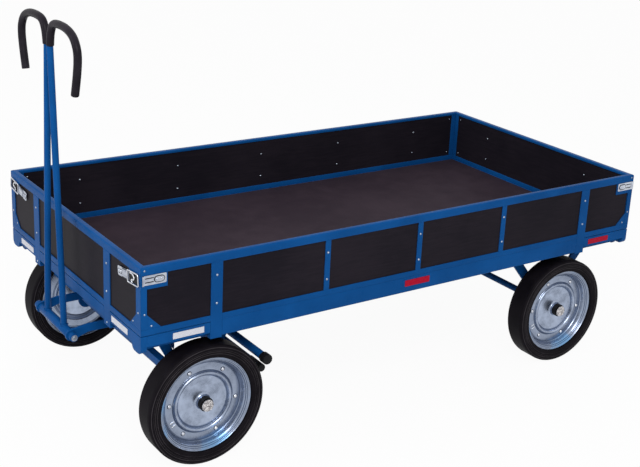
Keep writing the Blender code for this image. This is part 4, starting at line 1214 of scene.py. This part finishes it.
@dataclass
class RunningGear(SubAssembly):
    """Turntable, bogie beams, braces, fork arms, axle brackets and axles."""

    bevel: float = 0.0012
    plated_bevel: float = 0.001
    cap_radius: float = 0.0203
    cap_height: float = 0.0064
    cap_sides: int = 72
    collar: float = 0.440
    bolt_circle: float = 0.1440

    def build(self) -> None:
        """Coat the carried shapes and add bolts, welds and axle caps."""
        self.coat(["turntable_upper", "turntable_lower"], "plated", ZINC, self.plated_bevel)
        painted = [f"bogie_{name}_{end}" for name in ("beam", "brace") for end, _ in ENDS]
        painted += [f"fork_arm_{side}" for side, _ in SIDES]
        painted += [f"{end}_axle_bracket_{side}" for end, _ in ENDS for side, _ in SIDES]
        self.coat(painted, "coated", PAINT, self.bevel)
        self.build_axle("front", Body.BOGIE)
        self.build_axle("rear", Body.CHASSIS)
        self.build_turntable_bolts()
        self.build_bogie_welds()

    def build_axle(self, end: str, body: Body) -> None:
        """Build a round painted beam with plain journals, and a crimped cap at each end.

        Args:
            end: The cart's end.
            body: The CAD body that carries the axle.
        """
        low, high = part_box(f"{end}_axle")
        spot, reach, collar = ((low.x + high.x) / 2, 0, (low.z + high.z) / 2), high.y - 0.006, self.collar
        half = [(0.0125, 0.0), (0.0125, collar - 0.0106), (0.0135, collar - 0.010), (0.0176, collar - 0.0098),
                (0.0180, collar - 0.0092), (0.0180, collar), (0.0125, collar + 0.0004), (0.0125, reach)]
        beam, caps = Form(), Form()
        beam.turned([(radius, -along) for radius, along in reversed(half[1:])] + half, 40, False)
        self.add(f"{end}_axle_turned", beam, PAINT, [f"{end}_axle"], body=body, slot=Slot.AXLE, spot=spot)
        for side in (-1, 1):
            caps.skin(self.creased_cap(), place=aimed((0, side * (reach + 0.0002), 0), (0, side, 0)))
        self.add(f"{end}_axle_caps", caps, CREASED, body=body, spot=spot)

    def creased_cap(self) -> list[list[Point]]:
        """Rings of a pressed cap with a creased face and a fluted edge.

        Returns:
            The rings from the foot to the middle of the face.
        """
        rings: list[list[Point]] = [[(0.0, 0.0, 0.0)]]
        for share, rise, crease in ((0.80, 0.0, 0.0), (0.97, 0.12, 0.0), (1.0, 0.35, 0.2), (0.97, 0.62, 0.5),
                                    (0.90, 0.76, 1.0), (0.80, 0.78, 1.0), (0.70, 0.80, 1.0), (0.60, 0.82, 1.0),
                                    (0.50, 0.82, 1.0), (0.40, 0.82, 0.8), (0.28, 0.84, 0.6), (0.14, 0.84, 0.3)):
            rings.append([])
            for angle in (2 * pi * k / self.cap_sides for k in range(self.cap_sides)):
                fold = sin(5 * angle + 9 * share) * cos(3 * angle - 13 * share) + 0.5 * sin(11 * angle - 17 * share)
                reach = self.cap_radius * share * (1 + 0.025 * crease * sin(9 * angle))
                rings[-1].append((reach * cos(angle), reach * sin(angle),
                                  self.cap_height * (rise + 0.11 * crease * fold)))
        return [*rings, [(0.0, 0.0, self.cap_height * 0.86)]]

    def build_turntable_bolts(self) -> None:
        """Hexagon bolts that hold the rings to the cross members and beams."""
        low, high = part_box("turntable_lower")
        x = ((low + high) / 2).x
        for name, height, facing, body in (("upper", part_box("turntable_upper")[1].z - 0.0065, -1, Body.CHASSIS),
                                           ("lower", low.z + 0.0065, 1, Body.BOGIE)):
            form = Form()
            for angle in (pi / 4 + k * pi / 2 for k in range(4)):
                form.hexagon((x + self.bolt_circle * cos(angle), self.bolt_circle * sin(angle), height),
                             (0, 0, facing), 0.008, 0.003)
            self.add(f"turntable_bolts_{name}", form, FASTENER, body=body)

    def build_bogie_welds(self) -> None:
        """Beads between the beams, braces, fork arms and brackets."""
        form = Form()
        for end, _ in ENDS:
            low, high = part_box(f"bogie_beam_{end}")
            for y in (-high.y, high.y):
                for x in (low.x + 0.002, high.x - 0.002):
                    form.weld((x, y, low.z), (x, y, high.z - 0.003))
        back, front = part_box("bogie_brace_front")
        for side, _ in SIDES:
            for y in (corner.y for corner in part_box(f"fork_arm_{side}")):
                form.weld((back.x + 0.002, y, front.z + 0.0005), (front.x - 0.002, y, front.z + 0.0005))
        self.add("bogie_welds", form, PAINT, body=Body.BOGIE)


@dataclass
class Wheel(SubAssembly):
    """Solid tyre on a pressed disc rim. The wheel's own axis is Y, and its outer face looks along +Y."""

    label: str = "front_left"
    side: int = 1
    radius: float = 0.200
    half_width: float = 0.040
    shoulder: float = 0.010
    sides: int = 128
    rivet_circle: float = 0.117
    rivet_phase: float = radians(5.7)
    bar_angles: Pair = (radians(-23.5), radians(-30.0))
    face: float = 0.0050

    def build(self) -> None:
        """Build the tyre, the rim, the rivets and the painted shade round the hub and rivets, which turn together."""
        self.build_tyre()
        self.build_rim()
        self.build_rivets()
        self.build_seals()

    def put(self, name: str, form: Form, finish: Finish, nodes: Iterable[str] = (), slot: Slot | None = None) -> None:
        """Add a piece of the wheel with its outer face outwards."""
        low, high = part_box(f"tyre_{self.label}")
        self.add(name, form, finish, nodes, 0.0, f"wheel_{self.label}", slot, (low + high) / 2,
                 0.0 if self.side > 0 else pi)

    def build_tyre(self) -> None:
        """The solid tyre with its fine moulding lines and round shoulders."""
        round_by, form = self.shoulder, Form()
        wall = [(0.1503, 0.0267), (0.1590, 0.0267), (0.1590, 0.0362), (0.1600, 0.0371), (0.1640, 0.0377),
                (0.1690, 0.0383), (0.1718, 0.0387), (0.1728, 0.0375), (0.1740, 0.0389), (0.1786, 0.0394),
                (0.1796, 0.0382), (0.1808, 0.0396), (0.1826, 0.0397), (0.1835, 0.0386), (0.1845, 0.0399)]
        edge = arc((self.radius - round_by, self.half_width - round_by), round_by, radians(88), -radians(86), 10)
        tread = [(self.radius, 0.0290), (self.radius - 0.0009, 0.0282), (self.radius, 0.0274), (self.radius, 0.0)]
        half = wall + edge + tread
        form.turned(half + [(radius, -along) for radius, along in reversed(half[:-1])], self.sides)
        self.put(f"tyre_{self.label}_moulded", form, TYRE, [f"tyre_{self.label}"])

    def build_rim(self) -> None:
        """The pressed rim: tyre bed, lips, disc with its raised ring, and hub."""
        face, form = self.face, Form()
        lip = arc((0.1565, 0.0287), 0.0022, -radians(60), radians(210), 8)
        cone = [(0.1536, 0.0282), (0.1528, 0.0280), (0.1503, 0.0272), (0.1494, 0.0258), (0.1486, 0.0254),
                (0.1458, 0.0240), (0.1448, 0.0222), (0.1440, 0.0216), (0.1416, 0.0190), (0.1394, 0.0146),
                (0.1374, 0.0086), (0.1356, 0.0044), (0.1338, 0.0026), (0.1322, 0.0028)]
        disc = [(0.1310, -0.0006), (0.1298, 0.0), (0.1070, 0.0), (0.1058, -0.0010), (0.1046, -0.0012), (0.1034, 0.0),
                (0.1018, 0.0040), (0.0996, 0.0070), (0.0964, 0.0082), (0.0934, 0.0072), (0.0912, 0.0044),
                (0.0896, 0.0006), (0.0884, -0.0020), (0.0868, -0.0028), (0.0846, -0.0010), (0.0820, -0.0004),
                (0.0600, -0.0012), (0.0320, -0.0014), (0.0272, -0.0008), (0.0246, 0.0010), (0.0233, 0.0040),
                (0.0225, 0.0080)]
        dish = cone + [(radius, face + rise) for radius, rise in disc]
        inside = [(radius - 0.0012, along - 0.0030) for radius, along in dish[3:-4] if radius < 0.1460]
        hub = [(0.0225, 0.0290), (0.0219, 0.0300), (0.0142, 0.0300), (0.0131, 0.0290), (0.0131, -0.0330),
               (0.0140, -0.0340), (0.0215, -0.0340), (0.0225, -0.0330), (0.0225, face - 0.0050)]
        bed = [(0.1470, 0.0180), (0.1470, -0.0220), (0.1500, -0.0262), (0.1535, -0.0278),
               *[(radius, -along) for radius, along in reversed(lip)], (0.1500, -0.0240)]
        form.turned([(0.1500, 0.0262), *lip, *dish, *hub, *reversed(inside), *bed], self.sides)
        self.put(f"rim_{self.label}_pressed", form, RIM, [f"rim_{self.label}"])

    def rivet_spots(self, along: float) -> list[Point]:
        """Centres of the six rivets at a place along the axis."""
        angles = [self.rivet_phase + k * pi / 3 for k in range(6)]
        return [(self.rivet_circle * cos(angle), along, self.rivet_circle * sin(angle)) for angle in angles]

    def build_rivets(self) -> None:
        """Six domed rivets and two stamped bars on the flat ring."""
        form, seat = Form(), self.face - 0.0002
        for spot in self.rivet_spots(seat):
            form.dome(spot, OUTWARDS, 0.0065, 0.0042, 20)
        bar = rounded(rectangle((0.1090, -0.0015), (0.1250, 0.0015)), 0.0013, 3)
        for angle in self.bar_angles:
            form.prism(bar, seat, self.face + 0.0013, place=Matrix.Rotation(-angle, 4, "Y"))
        self.put(f"rim_{self.label}_rivets", form, FASTENER, slot=Slot.RIM)

    def build_seals(self) -> None:
        """Painted shade: dark rings in the gap round the hub and round the rivets."""
        form = Form()
        # Painted shade: dark rings in the gaps round the hub and the rivets.
        form.turned([(0.0226, 0.0136), (0.0231, 0.0140), (0.0231, 0.0306), (0.0224, 0.0312), (0.0150, 0.0312),
                     (0.0150, 0.0301), (0.0226, 0.0301)], 64)
        for spot in self.rivet_spots(self.face):
            form.turned([(0.0062, -0.0004), (0.0080, -0.0004), (0.0078, 0.0003), (0.0064, 0.0003)], 20,
                        place=Matrix.Translation(spot) @ TO_Y)
        self.put(f"hub_painted_shade_{self.label}", form, DARK)


@dataclass
class Drawbar(SubAssembly):
    """Foot bar on pivot pins, two converging tube legs, their tie and the hooked grips."""

    carrier: ClassVar[Body] = Body.DRAWBAR
    pivot: Point = (1.0395, 0.0, 0.342)
    bar_radius: float = 0.0155
    bar_half: float = 0.1185
    pin_radius: float = 0.008
    sleeve_radius: float = 0.0135
    sleeve: Pair = (0.1295, 0.1515)
    tube_radius: float = 0.0105
    tube_sides: int = 28
    foot_spread: float = 0.069
    top_spread: float = 0.0108
    leg_top: float = 0.907
    tie_half: Pair = (0.005, 0.010)
    tie_drops: Pair = (0.0605, 0.0105)
    seam: float = 0.0122
    grip_radius: float = 0.0124
    reach: float = 0.2215
    rise: float = 0.0755
    fall: float = 0.114

    @property
    def place(self) -> Matrix:
        """Place of the pivot, from which the drawbar is measured."""
        return Matrix.Translation(self.pivot)

    def build(self) -> None:
        """Build the painted frame, the nuts and the grips."""
        self.build_frame()
        self.build_nuts()
        self.build_grips()

    def build_frame(self) -> None:
        """Foot bar, pins, legs, tie and weld beads."""
        form, sides = Form(self.place), self.tube_sides
        form.tube([(0, -self.bar_half, 0), (0, self.bar_half, 0)], self.bar_radius, 32, 0.0012)
        form.tube([(0, -self.sleeve[0], 0), (0, self.sleeve[0], 0)], self.pin_radius, 20)
        for side in (-1, 1):
            form.tube([(0, side * end, 0) for end in self.sleeve], self.sleeve_radius, sides, 0.0012)
            form.tube([(0, side * self.foot_spread, 0), (0, side * self.top_spread, self.leg_top)],
                      self.tube_radius, sides, 0.0008)
            turns = [(cos(n * pi / 8), sin(n * pi / 8)) for n in range(17)]
            form.tube([(self.seam * x, side * (self.foot_spread - 0.0008) + self.seam * y, 0.0135 + 0.0028 * y ** 2)
                       for x, y in turns], BEAD, 8)
        (deep, half), (low, high) = self.tie_half, (self.leg_top - drop for drop in self.tie_drops)
        form.prism(rounded(rectangle((-half, low), (half, high)), 0.002), -deep, deep, "X")
        self.add("drawbar_frame_welded", form, PAINT, ["drawbar_frame"])

    def build_nuts(self) -> None:
        """Nuts and washers outside the fork arms."""
        form = Form(self.place)
        for side in (-1, 1):
            form.hexagon((0, side * (self.sleeve[1] + 0.0008), 0), (0, side, 0), 0.0150, 0.0050)
            form.turned([(0.0105, 0.0), (0.0105, 0.0010), (0.0050, 0.0010), (0.0050, 0.0)], self.tube_sides,
                        place=aimed((0, side * (self.sleeve[1] - 0.0001), 0), (0, side, 0)))
        self.add("drawbar_pivot_nuts", form, BOLT)

    def build_grips(self) -> None:
        """Black sleeves over the hooked ends."""
        shares = [(0.0, 0.0), (0.040, 0.52), (0.140, 0.89), (0.330, 1.0), (0.620, 0.97), (0.840, 0.78),
                  (0.965, 0.42), (1.0, 0.0), (0.965, -0.42), (0.878, -1.0)]
        start = self.grip_radius + SEAT_GAP
        path = smooth_path([(start + along * (self.reach - start), up * (self.rise if up > 0 else self.fall))
                            for along, up in shares], 8)
        for name, side in SIDES:
            form = Form(self.place)
            form.tube([(0, side * y, self.leg_top + SEAT_GAP + z) for y, z in path], self.grip_radius,
                      self.tube_sides, 0.0022)
            self.add(f"drawbar_grip_{name}_sleeve", form, SLEEVE, [f"drawbar_grip_{name}"])


@dataclass
class ParkingBrake(SubAssembly):
    """Pedal bar and shoe bar behind the front wheels, with black ends."""

    carrier: ClassVar[Body] = Body.BOGIE
    behind_axle: float = 0.206
    pedal_height: float = 0.312
    pedal_half: float = 0.522
    pedal_radius: float = 0.0132
    shoe_height: float = 0.268
    shoe_half: float = 0.488
    shoe_radius: float = 0.011
    cap_length: float = 0.030
    cap_wall: float = 0.0038
    cap_over: float = 0.0020
    cap_soft: float = 0.003
    sleeve_length: float = 0.076
    sleeve_wall: float = 0.0020
    sleeve_over: float = 0.0006
    plate_place: float = 0.185
    plate_half: float = 0.004
    soft: float = 0.0015
    sides: int = 32

    def build(self) -> None:
        """Build the bars with their side plates, and the black ends."""
        back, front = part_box("bogie_brace_rear")
        axle = sum(corner.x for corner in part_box("front_axle")) / 2
        place = Matrix.Translation((axle - self.behind_axle, 0, 0))
        meet, pedal, shoe, form = back.x - SEAT_GAP - place[0][3], self.pedal_height, self.shoe_height, Form(place)
        form.tube([(0, -self.pedal_half, pedal), (0, self.pedal_half, pedal)], self.pedal_radius, self.sides, self.soft)
        form.tube([(0, -self.shoe_half, shoe), (0, self.shoe_half, shoe)], self.shoe_radius, self.sides, self.soft)
        outline = [(meet, front.z), (0, pedal + self.pedal_radius), (-0.006, pedal), (-0.0055, shoe),
                   (0, shoe - 0.0055), (meet, back.z)]
        for place_y in (-self.plate_place, self.plate_place):
            near = place_y - self.plate_half
            form.prism(outline, near, place_y + self.plate_half)
            form.weld((meet, near, back.z + 0.002), (meet, near, front.z - 0.002), 0.002)
        self.add("brake_bar_welded", form, PAINT, ["brake_bar"], 0.0008)
        for name, side in SIDES:
            cap, sleeve = Form(place), Form(place)
            end = self.pedal_half + self.cap_over
            cap.tube([(0, side * (end - self.cap_length), pedal), (0, side * end, pedal)],
                     self.pedal_radius + self.cap_wall, self.sides, self.cap_soft)
            self.add(f"brake_cap_{name}_moulded", cap, DARK, [f"brake_cap_{name}"])
            end = self.shoe_half + self.sleeve_over
            sleeve.tube([(0, side * (end - self.sleeve_length), shoe), (0, side * end, shoe)],
                        self.shoe_radius + self.sleeve_wall, self.sides, self.soft)
            self.add(f"brake_shoe_sleeve_{name}", sleeve, DARK)


def build_parts(middle: float) -> list[SubAssembly]:
    """List the cart's sub-assemblies in the order in which they are built.

    Args:
        middle: Middle of the platform along X.

    Returns:
        The sub-assemblies.
    """
    parts: list[SubAssembly] = [PlatformFrame(middle)]
    for name, side in SIDES:
        place = (name, (middle, side * WALL_WIDTH / 2, 0), 0.0 if side > 0 else pi)
        parts += [Wall(*place, posts=(-0.37114, 0.0, 0.37114), skirted=True), Skirt(*place)]
    for name, end in ENDS:
        parts.append(Wall(name, (middle + end * WALL_LENGTH / 2, 0, 0), -end * pi / 2, length=WALL_WIDTH,
                          stake_place=0.285, stake_width=0.045, latch_plate=0.076, post_face=0.031, gusset=0.052,
                          corner_bolts=((0.016, 0.556), (0.050, 0.519))))
    for end_name, end in ENDS:
        for side_name, side in SIDES:
            label = f"{end_name}_{side_name}"
            parts += [CornerLatch(label, end, side, middle), Wheel(label, side)]
    return [*parts, RunningGear(), Drawbar(), ParkingBrake()]


def main() -> None:
    logging.basicConfig(level=logging.INFO, format="%(name)s: %(message)s")
    Studio().build()
    for part in build_parts(sum(corner.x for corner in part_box("deck")) / 2):
        part.build()
        for piece in part.pieces:
            LOG.info("%s: %s with %d faces", type(part).__name__, piece.name, len(piece.data.polygons))


if __name__ == "__main__":
    main()
